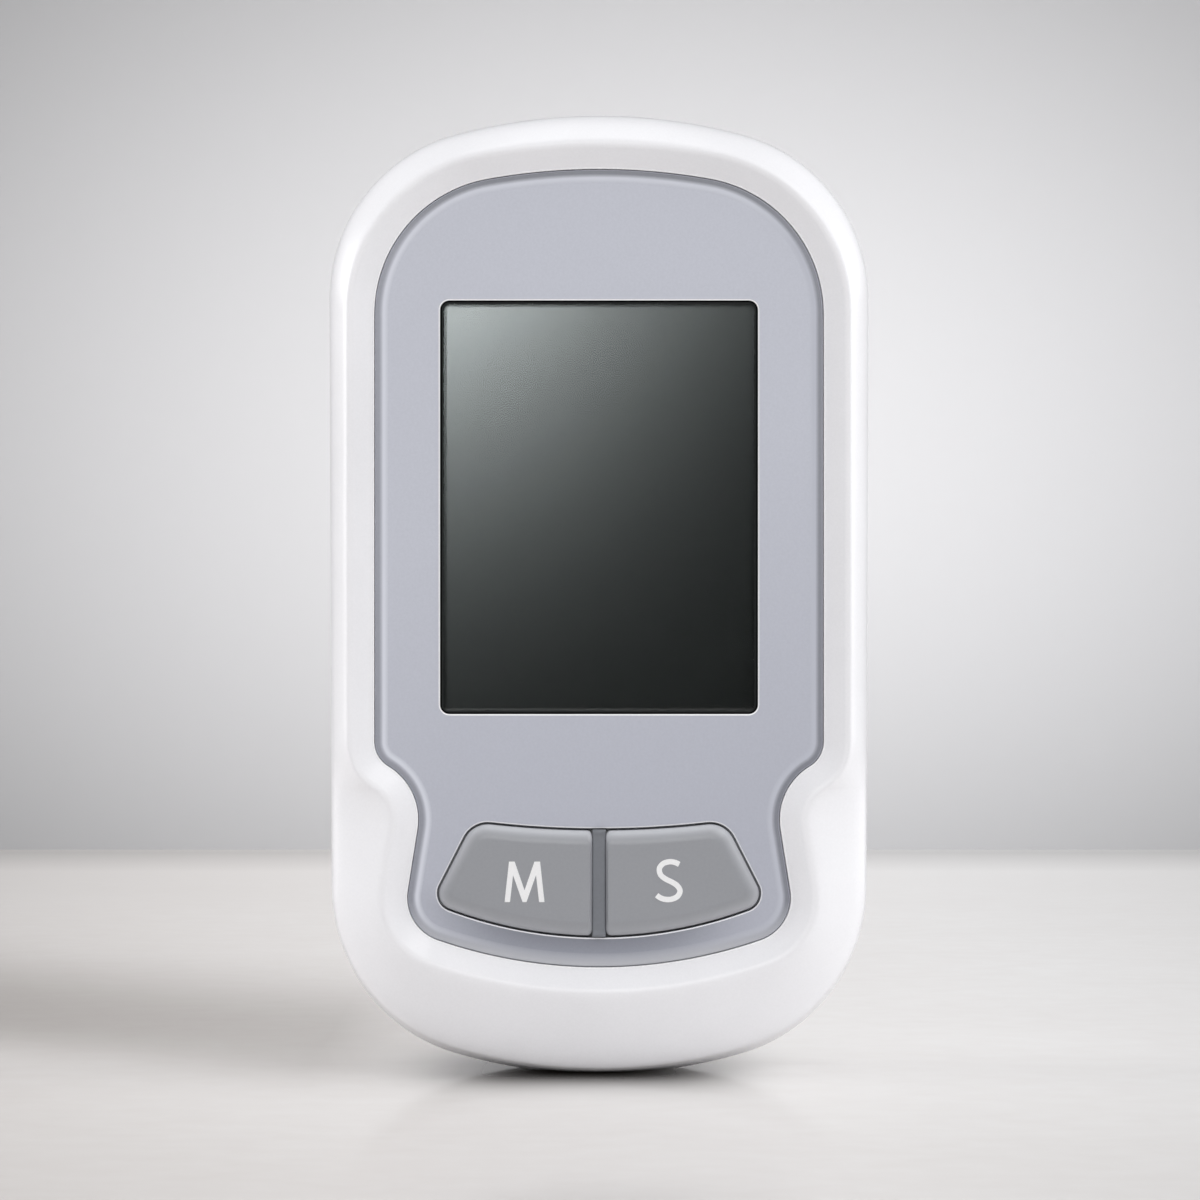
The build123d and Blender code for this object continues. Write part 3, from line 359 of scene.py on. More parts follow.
# Marks on the keys: where their middle lies, how deep in the key they start and how far they stand on it,
# and how wide a stroke is
MARK_LEFT_X = -7.53
MARK_RIGHT_X = 7.03
MARK_LOW = 17.92
MARK_RISE = 0.06
MARK_DEPTHS = (KEY_DEPTH - MARK_RISE, KEY_DEPTH + MARK_RISE)
STROKE = 0.55
SPINE_STEPS = 5

# Outline of an M, from the left foot round, and middle line of an S, each from its own middle and base
M_OUTLINE = (
    (-2.02, 0.0), (-1.47, 0.0), (-1.16, 2.72), (-0.2, 0.0), (0.2, 0.0), (1.16, 2.72), (1.47, 0.0),
    (2.02, 0.0), (1.57, 4.1), (1.0, 4.1), (0.0, 1.2), (-1.0, 4.1), (-1.57, 4.1),
)
S_SPINE = (
    (1.08, 3.82), (0.6, 4.03), (0.05, 4.08), (-0.56, 3.88), (-0.93, 3.38), (-0.8, 2.76), (-0.3, 2.34),
    (0.34, 2.02), (0.88, 1.66), (1.16, 1.14), (0.92, 0.6), (0.36, 0.31), (-0.25, 0.27), (-0.8, 0.42),
    (-1.2, 0.7),
)

# Settings that many nodes share: two sums, a mix of two colours, and a colour that tints another
MULTIPLY = {"operation": "MULTIPLY"}
MULTIPLY_ADD = {"operation": "MULTIPLY_ADD"}
MIXED = {"data_type": "RGBA"}
TINTED = {"data_type": "RGBA", "blend_type": "MULTIPLY"}


def linear(code):
    """Linear red, green, blue and alpha of an sRGB hex colour."""
    channels = [int(code[i : i + 2], 16) / 255 for i in (1, 3, 5)]
    return [c / 12.92 if c <= 0.04045 else ((c + 0.055) / 1.055) ** 2.4 for c in channels] + [1.0]


def add(tree, kind, settings=None, inputs=None):
    """Adds a node with its settings, and sets its inputs or links them to sockets, or to the first output
    of other nodes. A kind is a shader node's, or a whole name for any other."""
    whole = kind.startswith(("GeometryNode", "FunctionNode", "NodeGroup"))
    node = tree.nodes.new(kind if whole else "ShaderNode" + kind)
    for name, value in (settings or {}).items():
        setattr(node, name, value)
    for name, value in (inputs or {}).items():
        if isinstance(value, bpy.types.Node):
            value = next(socket for socket in value.outputs if socket.enabled)
        if isinstance(value, bpy.types.NodeSocket):
            tree.links.new(value, node.inputs[name])
        else:
            node.inputs[name].default_value = value
    return node


def start_material(name):
    """A new material with its empty node tree and its Object coordinates."""
    material = bpy.data.materials.new(name)
    material.use_nodes = True
    tree = material.node_tree
    tree.nodes.clear()
    return material, tree, add(tree, "TexCoord").outputs["Object"]


def per_metre(pattern_mm):
    """Scale of a pattern whose features are this many millimetres apart."""
    return 1 / (pattern_mm * MM)


def span(value, first, last):
    """What Map Range takes so that its result rises from none to whole between two places."""
    return {"Value": value, "From Min": first * MM, "From Max": last * MM}


def distance_term(tree, value, centre, reach, power):
    """How far a coordinate lies from a centre, in reaches, raised to a power."""
    offset = add(tree, "Math", MULTIPLY_ADD, {0: value, 1: per_metre(reach), 2: -centre / reach})
    size = add(tree, "Math", {"operation": "ABSOLUTE"}, {0: offset})
    return add(tree, "Math", {"operation": "POWER"}, {0: size, 1: power})


def two_sided(tree, value, start, near, far):
    """Terms of a bell with a flat middle, whose near and far sides fall off by a reach and power each."""
    nearer = add(tree, "Math", {"operation": "MINIMUM"}, {0: value, 1: -start * MM})
    further = add(tree, "Math", {"operation": "MAXIMUM"}, {0: value, 1: start * MM})
    return [distance_term(tree, nearer, -start, *near), distance_term(tree, further, start, *far)]


def bell(tree, terms):
    """A smooth bell that falls off with the sum of its terms."""
    total = terms[0]
    for term in terms[1:]:
        total = add(tree, "Math", inputs={0: total, 1: term})
    inverse = add(tree, "Math", MULTIPLY, {0: total, 1: -1.0})
    return add(tree, "Math", {"operation": "EXPONENT"}, {0: inverse})


# Refractive index of ABS, and how moulded plastic varies: how far apart its tone drifts, the weight of
# the grain beside the drift, the range of the two that its tones span, the range of the grain that its
# roughness spans, and how far that strays
ABS_IOR = 1.52
DRIFT_SIZE = 14.0
GRAIN_WEIGHT = 0.6
TONE_RANGE = (0.55, 1.05)
GRAIN_RANGE = (0.3, 0.7)
MOULDED_STRAY = 0.05


def moulded(name, dark, light, roughness, grain_mm, grain_height_mm, ior=ABS_IOR):
    """Moulded plastic or rubber: a colour that drifts a little, and the spark-eroded grain that the mould
    leaves, which breaks up the gloss. The real grain is a few hundredths of a millimetre wide, too fine
    to show, so each is drawn several times as coarse."""
    material, tree, where = start_material(name)
    drift = add(tree, "TexNoise", inputs={"Vector": where, "Scale": per_metre(DRIFT_SIZE), "Detail": 3.0})
    grain = add(tree, "TexNoise", inputs={"Vector": where, "Scale": per_metre(grain_mm), "Detail": 2.0})
    both = add(tree, "Math", MULTIPLY_ADD, {0: grain, 1: GRAIN_WEIGHT, 2: drift})
    low, high = TONE_RANGE
    share = add(tree, "MapRange", inputs={"Value": both, "From Min": low, "From Max": high})
    colour = add(tree, "Mix", MIXED, {0: share, 6: linear(dark), 7: linear(light)})
    low, high = GRAIN_RANGE
    gloss = add(
        tree,
        "MapRange",
        inputs={
            "Value": grain,
            "From Min": low,
            "From Max": high,
            "To Min": roughness - MOULDED_STRAY,
            "To Max": roughness + MOULDED_STRAY,
        },
    )
    bump = add(
        tree, "Bump", inputs={"Height": grain, "Strength": 1.0, "Distance": grain_height_mm * MM}
    )
    shader = add(
        tree,
        "BsdfPrincipled",
        inputs={"Base Color": colour, "Roughness": gloss, "Normal": bump, "IOR": ior},
    )
    add(tree, "OutputMaterial", inputs={"Surface": shader})
    return material


# How far a metal's roughness strays
METAL_STRAY = 0.08


def metal(name, dark, light, roughness, streak_mm, stretch=(1.0, 1.0, 1.0)):
    """Metal whose tone and gloss vary with its drawing, plating or stamping marks, which are drawn coarse
    enough to show."""
    material, tree, where = start_material(name)
    turned = add(tree, "Mapping", inputs={"Vector": where, "Scale": stretch})
    marks = add(tree, "TexNoise", inputs={"Vector": turned, "Scale": per_metre(streak_mm), "Detail": 4.0})
    colour = add(tree, "Mix", MIXED, {0: marks, 6: linear(dark), 7: linear(light)})
    least, most = roughness - METAL_STRAY, roughness + METAL_STRAY
    gloss = add(tree, "MapRange", inputs={"Value": marks, "To Min": least, "To Max": most})
    shader = add(
        tree, "BsdfPrincipled", inputs={"Base Color": colour, "Metallic": 1.0, "Roughness": gloss}
    )
    add(tree, "OutputMaterial", inputs={"Surface": shader})
    return material


# Each moulded finish is given by its dark and light tone, its roughness, and the width and height of its
# grain in millimetres, and each metal by its tones, its roughness and the width of its marks.

# ABS, injection moulded in a finely eroded mould: an even satin white that softens every highlight
WHITE_ABS = moulded("white_abs_moulded", "#f0f0f3", "#f6f6f9", 0.36, 0.22, 0.0012)

# Faceplate's grain, drawn coarse enough to show: its width and height, and its two tones
FACE_GRAIN = 0.25
FACE_GRAIN_HEIGHT = 0.0022
FACE_DARK = "#c0c3ce"
FACE_LIGHT = "#cacdd8"

# Painted shade that darkens the faceplate towards its foot and its right: its tints, the heights they
# belong to, and how much it leans with the width
SHADE_TINT_LOW = "#eaeaec"
SHADE_TINT_HIGH = "#ffffff"
SHADE_HEIGHTS = (18.0, 60.0)
SHADE_LEAN = -0.3

# Painted shadow of the keys along their foot: where it lies beside their arc, its tones, and its middle
# and reach across the plate
ARC_SHADE_SPAN = (-2.0, 3.4)
ARC_SHADE = ((0.0, "#ffffff"), (0.38, "#b5b6b8"), (0.62, "#cbccce"), (1.0, "#f0f0f2"))
ARC_SHADE_X = -1.5
ARC_SHADE_REACH = 13.5
ARC_SHADE_SQUARENESS = 4.0


def face_tone_and_shade(tree, where):
    """Cool light grey with a barely visible speckle. Painted shade darkens it a little towards the foot
    and the right, and a painted shadow darkens it more along the foot of the keys."""
    axes = add(tree, "SeparateXYZ", inputs={"Vector": where}).outputs
    grain = add(tree, "TexNoise", inputs={"Vector": where, "Scale": per_metre(FACE_GRAIN), "Detail": 2.0})
    speckle = add(tree, "Mix", MIXED, {0: grain, 6: linear(FACE_DARK), 7: linear(FACE_LIGHT)})
    # Painted shade: darker towards the foot and to the right
    along = add(tree, "Math", MULTIPLY_ADD, {0: axes["X"], 1: SHADE_LEAN, 2: axes["Z"]})
    height = add(tree, "MapRange", inputs=span(along, *SHADE_HEIGHTS))
    fade = add(tree, "Mix", MIXED, {0: height, 6: linear(SHADE_TINT_LOW), 7: linear(SHADE_TINT_HIGH)})
    colour = add(tree, "Mix", TINTED, {0: 1.0, 6: speckle, 7: fade})
    # Painted shadow of the keys, along the arc of their foot and strongest in the middle
    flat = add(tree, "CombineXYZ", inputs={"X": axes["X"], "Z": axes["Z"]})
    arc_centre = (0.0, 0.0, (KEY_LOW + KEY_LOW_ARC) * MM)
    away = add(tree, "VectorMath", {"operation": "DISTANCE"}, {0: flat, 1: arc_centre})
    beside = [KEY_LOW_ARC + edge for edge in ARC_SHADE_SPAN]
    across = add(tree, "MapRange", inputs=span(away, *beside))
    tones = add(tree, "ValToRGB", inputs={"Fac": across})
    stops = tones.color_ramp.elements
    stops[0].color = linear(ARC_SHADE[0][1])
    stops[1].color = linear(ARC_SHADE[-1][1])
    for place, tone in ARC_SHADE[1:-1]:
        stops.new(place).color = linear(tone)
    middle = bell(
        tree, [distance_term(tree, axes["X"], ARC_SHADE_X, ARC_SHADE_REACH, ARC_SHADE_SQUARENESS)]
    )
    shaded = add(tree, "Mix", TINTED, {0: 1.0, 6: colour, 7: tones})
    return add(tree, "Mix", MIXED, {0: middle, 6: colour, 7: shaded}), grain


def grey_abs():
    """ABS, moulded with a grained face that breaks up its gloss."""
    material, tree, where = start_material("light_grey_abs_grained")
    colour, grain = face_tone_and_shade(tree, where)
    bump = add(
        tree, "Bump", inputs={"Height": grain, "Strength": 1.0, "Distance": FACE_GRAIN_HEIGHT * MM}
    )
    shader = add(
        tree,
        "BsdfPrincipled",
        inputs={"Base Color": colour, "Roughness": 0.42, "Normal": bump, "IOR": ABS_IOR},
    )
    add(tree, "OutputMaterial", inputs={"Surface": shader})
    return material


GREY_ABS = grey_abs()

# Plate's falling edge: where its left and right, its top and its foot lie, and the tones of its band of
# painted shade and of its lip of painted highlight there
EDGE_SIDES = (-20.0, 20.0)
EDGE_TOP = (84.0, 91.0)
EDGE_FOOT = (18.0, 13.0)
BAND_LEFT = "#cfcfd0"
BAND_RIGHT = "#bababb"
BAND_TOP = "#a9a9aa"
BAND_FOOT = "#f4f4f4"
LIP_LEFT = "#d8dbe5"
LIP_RIGHT = "#bec1cc"
LIP_TOP = "#d4d7e1"
LIP_FOOT = "#bcbec4"


def edge_abs():
    """The same ABS on the plate's falling edge: a band of painted shade beside the gap, most at the top,
    then a lip with a painted highlight, more on the left than on the right. The lip at the foot is
    darker, with painted shade."""
    material, tree, where = start_material("grey_abs_edge_shade_and_highlight")
    axes = add(tree, "SeparateXYZ", inputs={"Vector": where}).outputs
    face, _ = face_tone_and_shade(tree, where)
    inward = add(tree, "Attribute", {"attribute_name": "inward"}).outputs["Fac"]
    rightward, upward, downward = [
        add(tree, "MapRange", inputs=span(axes[axis], *ends))
        for axis, ends in (("X", EDGE_SIDES), ("Z", EDGE_TOP), ("Z", EDGE_FOOT))
    ]
    # Band of painted shade beside the gap: lighter on the left, darker on the right, darkest at the top,
    # none at the foot
    band = add(tree, "Mix", MIXED, {0: rightward, 6: linear(BAND_LEFT), 7: linear(BAND_RIGHT)})
    band = add(tree, "Mix", MIXED, {0: upward, 6: band, 7: linear(BAND_TOP)})
    band = add(tree, "Mix", MIXED, {0: downward, 6: band, 7: linear(BAND_FOOT)})
    # Lip of painted highlight, brightest on the left and at the top
    lip = add(tree, "Mix", MIXED, {0: rightward, 6: linear(LIP_LEFT), 7: linear(LIP_RIGHT)})
    lip = add(tree, "Mix", MIXED, {0: upward, 6: lip, 7: linear(LIP_TOP)})
    line_end, band_end, near = [
        add(tree, "MapRange", inputs={"Value": inward, "From Min": first, "From Max": last})
        for first, last in (LINE_FADE, BAND_FADE, FOOT_LIP)
    ]
    banded = add(tree, "Math", {"operation": "SUBTRACT"}, {0: line_end, 1: band_end})
    # Share of the lip's painted highlight, by how far in from the outline it lies
    polished = bell(
        tree, [distance_term(tree, inward, LIP_MIDDLE / MM, LIP_REACH / MM, PLAIN_FALL)]
    )
    above_foot = add(tree, "Math", {"operation": "SUBTRACT"}, {0: 1.0, 1: downward})
    share = add(tree, "Math", MULTIPLY, {0: polished, 1: above_foot})
    colour = add(tree, "Mix", MIXED, {0: share, 6: face, 7: lip})
    shade_band = add(tree, "Mix", TINTED, {0: 1.0, 6: face, 7: band})
    colour = add(tree, "Mix", MIXED, {0: banded, 6: colour, 7: shade_band})
    # Lip at the foot darkened with painted shade
    share = add(tree, "Math", MULTIPLY, {0: near, 1: downward})
    colour = add(tree, "Mix", MIXED, {0: share, 6: colour, 7: linear(LIP_FOOT)})
    shader = add(
        tree, "BsdfPrincipled", inputs={"Base Color": colour, "Roughness": 0.45, "IOR": ABS_IOR}
    )
    add(tree, "OutputMaterial", inputs={"Surface": shader})
    return material


EDGE_ABS = edge_abs()

# ABS with a painted highlight: a thin bright line round each opening, and beside the gap
BRIGHT_EDGE = moulded("pale_abs_painted_highlight_edge", "#f4f4f6", "#fbfbfd", 0.25, 0.3, 0.0005)
OPENING_EDGE = moulded("light_abs_painted_highlight_edge", "#dcdde2", "#e4e5ea", 0.3, 0.3, 0.0005)

# Keys' grain, drawn coarse enough to show: its width and height, its two tones, and the tone of the
# painted highlight on the falling edge, how far down it is whole, and its share along the keys' foot
KEY_GRAIN = 0.3
KEY_GRAIN_HEIGHT = 0.0012
KEY_DARK = "#93959a"
KEY_LIGHT = "#999ba0"
KEY_PALE = "#c4c6cb"
KEY_PALE_DROP = 0.4
KEY_PALE_LEAST = 0.35


def key_abs():
    """ABS, moulded and satin polished: mid grey on the face, with a painted highlight that makes it paler
    where the edge falls away, fainter towards the keys' foot."""
    material, tree, where = start_material("mid_grey_abs_satin")
    axes = add(tree, "SeparateXYZ", inputs={"Vector": where}).outputs
    grain = add(tree, "TexNoise", inputs={"Vector": where, "Scale": per_metre(KEY_GRAIN), "Detail": 2.0})
    fall = add(tree, "MapRange", inputs=span(axes["Y"], -KEY_DEPTH, -KEY_DEPTH + KEY_PALE_DROP))
    heights = span(axes["Z"], KEY_LOW, KEY_TOP_MIDDLE)
    upward = add(tree, "MapRange", inputs=heights | {"To Min": KEY_PALE_LEAST})
    # Painted highlight on the falling edge, fainter towards the keys' foot
    share = add(tree, "Math", MULTIPLY, {0: fall, 1: upward})
    face = add(tree, "Mix", MIXED, {0: grain, 6: linear(KEY_DARK), 7: linear(KEY_LIGHT)})
    colour = add(tree, "Mix", MIXED, {0: share, 6: face, 7: linear(KEY_PALE)})
    bump = add(
        tree, "Bump", inputs={"Height": grain, "Strength": 1.0, "Distance": KEY_GRAIN_HEIGHT * MM}
    )
    shader = add(
        tree,
        "BsdfPrincipled",
        inputs={"Base Color": colour, "Roughness": 0.38, "Normal": bump, "IOR": ABS_IOR},
    )
    add(tree, "OutputMaterial", inputs={"Surface": shader})
    return material


KEY_ABS = key_abs()

# Silicone rubber, compression moulded: dark grey, soft and dull
SILICONE = moulded("grey_silicone_moulded", "#777a80", "#7f8288", 0.55, 0.3, 0.002, ior=1.41)

# Silk-screened ink, thick and opaque: a matt white that stands a hair above the key
KEY_INK = moulded("white_screen_ink", "#f2f2f3", "#fafafb", 0.5, 0.2, 0.001)

# Lens: how far apart its faint waves lie
LENS_WAVES = 18.0


def clear_acrylic():
    """Cast acrylic, polished: clear and glossy, so that it mostly shows what it reflects."""
    material, tree, where = start_material("clear_acrylic_polished")
    waves = add(tree, "TexNoise", inputs={"Vector": where, "Scale": per_metre(LENS_WAVES), "Detail": 1.0})
    gloss = add(tree, "MapRange", inputs={"Value": waves, "To Min": 0.04, "To Max": 0.05})
    shader = add(
        tree,
        "BsdfPrincipled",
        inputs={
            "Base Color": linear("#fbfdfc"),
            "Roughness": gloss,
            "Transmission Weight": 1.0,
            "IOR": 1.49,
        },
    )
    add(tree, "OutputMaterial", inputs={"Surface": shader})
    return material


# Polarising film: its grain, drawn coarse enough to show, and how much longer than wide it is
FILM_GRAIN = 0.5
FILM_DRAW = 25.0


def dark_polariser():
    """Iodine polarising film over a blank reflective display: a deep green-grey with a faint vertical
    grain from the way the film was stretched."""
    material, tree, where = start_material("polarising_film_stretched")
    drawn = add(tree, "Mapping", inputs={"Vector": where, "Scale": (1.0, 1.0, 1 / FILM_DRAW)})
    grain = add(tree, "TexNoise", inputs={"Vector": drawn, "Scale": per_metre(FILM_GRAIN), "Detail": 2.0})
    colour = add(tree, "Mix", MIXED, {0: grain, 6: linear("#121716"), 7: linear("#181d1c")})
    shader = add(tree, "BsdfPrincipled", inputs={"Base Color": colour, "Roughness": 0.5, "IOR": 1.3})
    add(tree, "OutputMaterial", inputs={"Surface": shader})
    return material


LENS = clear_acrylic()
POLARISER = dark_polariser()

# Ink printed round the lens: a flat near-black band
BORDER_INK = moulded("black_border_ink", "#1a1d1d", "#202323", 0.6, 0.3, 0.0005, ior=1.3)

# Painted shade: a near-black ring in the gap round the lens, which takes in nearly all light
SHADE_RING_BLACK = moulded("black_shade_ring", "#060606", "#0b0b0b", 0.95, 0.3, 0.0005, ior=1.1)

# Polyurethane foam, die cut: black and open-celled
FOAM = moulded("black_foam_die_cut", "#161616", "#262626", 0.9, 0.35, 0.03)

# Soda-lime glass of the display, ground edges: nearly clear with a green cast
GLASS = moulded("display_glass_ground", "#9fb0a8", "#aebfb6", 0.12, 0.6, 0.0002)

# Aluminised polyester film: a bright diffuse mirror
REFLECTOR = metal("reflector_film_metallised", "#b9babb", "#d3d4d5", 0.4, 0.4)

# Glass-filled nylon, moulded: black with a dry surface
BLACK_NYLON = moulded("black_nylon_moulded", "#18191a", "#222324", 0.5, 0.25, 0.004)

# Silicone with carbon layers, sliced: pink-grey sides and fine dark lines
ZEBRA = moulded("zebra_silicone_sliced", "#3a3436", "#8f8487", 0.6, 0.15, 0.001)

# Carbon-loaded silicone: matt black pills
CARBON = moulded("carbon_rubber_pressed", "#101011", "#1b1b1c", 0.7, 0.2, 0.003)

# Copper, gold flashed: warm and bright
GOLD = metal("copper_gold_flashed", "#c79a4b", "#e2bc6d", 0.25, 0.3)

# Glass-epoxy laminate under green solder mask: glossy green, with the weave just showing
BOARD = moulded("fr4_green_mask", "#0f4a2a", "#176037", 0.35, 0.5, 0.004)

# Moulded epoxy: the flat black of a chip package
EPOXY = moulded("black_epoxy_moulded", "#161718", "#202122", 0.6, 0.12, 0.002)

# Nickel-plated steel, deep drawn: the crystal's can
STEEL_CAN = metal("nickel_steel_drawn", "#a9aaa8", "#c9cac8", 0.28, 0.6, (1.0, 1.0, 0.1))

# Aluminium, impact extruded: the capacitor's can, with faint lines along it
ALUMINIUM_CAN = metal("aluminium_extruded", "#b6b8ba", "#d6d8da", 0.34, 0.4, (1.0, 0.1, 1.0))

# Fired ceramic and resistor paste: small tan and dark blocks
CHIP_PARTS = moulded("chip_ceramic_fired", "#7d6a52", "#a08c70", 0.5, 0.8, 0.002)

# Zinc-plated steel, cold headed: a bluish bright finish
ZINC = metal("zinc_steel_headed", "#9fa3a8", "#c3c7cb", 0.32, 0.25)

# Nickel-plated spring steel, stamped: the battery contacts
NICKEL = metal("nickel_spring_stamped", "#b3b0a6", "#d2cfc5", 0.25, 0.5)

# Polyester shrink sleeve: a plain glossy dark blue jacket
JACKET = moulded("cell_sleeve_shrunk", "#1d2f55", "#243a66", 0.22, 1.2, 0.004)

# ABS, moulded: the grey insert that frames the strip slot
PORT_ABS = moulded("port_grey_abs", "#7c7e82", "#86888c", 0.42, 0.25, 0.002)

# Liquid crystal polymer, moulded: black with flow marks
CONNECTOR_POLYMER = moulded("connector_polymer_moulded", "#141414", "#202020", 0.5, 0.5, 0.002)

NODE_MATERIALS = {
    "front_shell": WHITE_ABS,
    "rear_shell": WHITE_ABS,
    "battery_door": WHITE_ABS,
    "faceplate": GREY_ABS,
    "window_lens": LENS,
    "lens_gasket": FOAM,
    "lcd_front_polariser": POLARISER,
    "lcd_front_glass": GLASS,
    "lcd_rear_glass": GLASS,
    "lcd_reflector": REFLECTOR,
    "lcd_frame": BLACK_NYLON,
    "zebra_connectors": ZEBRA,
    "memory_key": KEY_ABS,
    "set_key": KEY_ABS,
    "memory_key_plunger": SILICONE,
    "set_key_plunger": SILICONE,
    "memory_key_pill": CARBON,
    "set_key_pill": CARBON,
    "keypad_mat": SILICONE,
    "key_contact_pads": GOLD,
    "main_board": BOARD,
    "controller_chip": EPOXY,
    "crystal": STEEL_CAN,
    "buzzer": BLACK_NYLON,
    "reservoir_capacitor": ALUMINIUM_CAN,
    "board_parts": CHIP_PARTS,
    "case_screws": ZINC,
    "board_screws": ZINC,
    "battery_left": JACKET,
    "battery_right": JACKET,
    "battery_link_plate": NICKEL,
    "battery_terminal_left": NICKEL,
    "battery_terminal_right": NICKEL,
    "strip_port_guide": PORT_ABS,
    "strip_connector": CONNECTOR_POLYMER,
    "strip_contacts": GOLD,
}


def set_material(piece, material):
    piece.data.materials.clear()
    piece.data.materials.append(material)


for name, material in NODE_MATERIALS.items():
    set_material(frame["nodes"][name], material)


def point(x, depth, z):
    """A place in metres from a width, a depth and a height in millimetres."""
    return Vector((x, -depth, z)) * MM


def new_piece(name, points, faces, material, angle=FLAT_PIECE_ANGLE):
    """A mesh piece with smooth shading that breaks at edges sharper than the angle."""
    mesh = bpy.data.meshes.new(name)
    mesh.from_pydata(points, [], faces)
    mesh.validate()
    piece = bpy.data.objects.new(name, mesh)
    bpy.context.scene.collection.objects.link(piece)
    set_material(piece, material)
    smooth(piece, angle)
    return piece


def smooth(piece, angle):
    mesh = piece.data
    mesh.polygons.foreach_set("use_smooth", [True] * len(mesh.polygons))
    mesh.set_sharp_from_angle(angle=radians(angle))
    weighted = piece.modifiers.new("weighted_normals", "WEIGHTED_NORMAL")
    weighted.keep_sharp = True


def arc(centre, radius, first, last, count):
    """Points from one angle to another, in radians, without the last one."""
    steps = [first + (last - first) * i / count for i in range(count)]
    return [(centre[0] + radius * cos(a), centre[1] + radius * sin(a)) for a in steps]


def straight(start, end, count):
    """Points along a line, without the last one."""
    return [tuple(a + (b - a) * i / count for a, b in zip(start, end)) for i in range(count)]


def round_at_arc(start, way, centre_z, radius, corner, upper):
    """Centre of a rounding between a line and an arc on the middle line, and where it meets the line.
    The line runs down the right from start."""
    inward = (way[1], -way[0])
    x, z = start[0] + corner * inward[0], start[1] + corner * inward[1] - centre_z
    ahead = x * way[0] + z * way[1]
    root = sqrt(ahead**2 - x**2 - z**2 + (radius - corner) ** 2)
    run = -ahead - root if upper else -ahead + root
    middle = (x + way[0] * run, z + way[1] * run + centre_z)
    meets = (middle[0] - corner * inward[0], middle[1] - corner * inward[1])
    return middle, meets


def angle_from(centre, spot):
    return atan2(spot[1] - centre[1], spot[0] - centre[0])


def sagitta(radius, half):
    return radius - sqrt(radius**2 - half**2)


def case_half(side, top, low, stations):
    """Right half of the silhouette, drawn in at its sides, top and foot, with its points grouped as the
    faceplate's are. The stations are the heights where the plate's shoulder and waist begin and end."""
    top_radius, low_radius = CASE_TOP_ARC - top, CASE_LOW_ARC - low
    top_centre = CASE_HEIGHT - CASE_TOP_ARC
    low_centre = CASE_LOW_ARC - FOOT_DROP
    half_top, half_low = CASE_TOP_HALF - side, CASE_LOW_HALF - side
    first = (half_top, CASE_HEIGHT - top - sagitta(top_radius, half_top))
    last = (half_low, low - FOOT_DROP + sagitta(low_radius, half_low))
    length = sqrt((last[0] - first[0]) ** 2 + (last[1] - first[1]) ** 2)
    way = ((last[0] - first[0]) / length, (last[1] - first[1]) / length)
    corner = CASE_CORNER - side
    high, high_meets = round_at_arc(first, way, top_centre, top_radius, corner, True)
    deep, deep_meets = round_at_arc(first, way, low_centre, low_radius, corner, False)
    tilt = atan2(-way[0], -way[1])
    side_points = [(first[0] + way[0] * (z - first[1]) / way[1], z) for z in stations]
    breaks = [high_meets, *side_points, deep_meets]
    turn = angle_from((0, top_centre), high)
    points = arc((0, top_centre), top_radius, pi / 2, turn, STRETCHES["top"])
    points += arc(high, corner, turn, -tilt, STRETCHES["top_corner"])
    for a, b, stretch in zip(breaks, breaks[1:], ("side", "shoulder", "run", "waist", "flare")):
        points += straight(a, b, STRETCHES[stretch])
    turn = angle_from((0, low_centre), deep)
    points += arc(deep, corner, -tilt, turn, STRETCHES["low_corner"])
    points += arc((0, low_centre), low_radius, turn, -pi / 2, STRETCHES["foot"])
    return points + [(0, low - FOOT_DROP)]


def line_meet(p, u, q, v):
    """Where the line from p along u meets the line from q along v."""
    t = ((q[0] - p[0]) * v[1] - (q[1] - p[1]) * v[0]) / (u[0] * v[1] - u[1] * v[0])
    return (p[0] + u[0] * t, p[1] + u[1] * t)


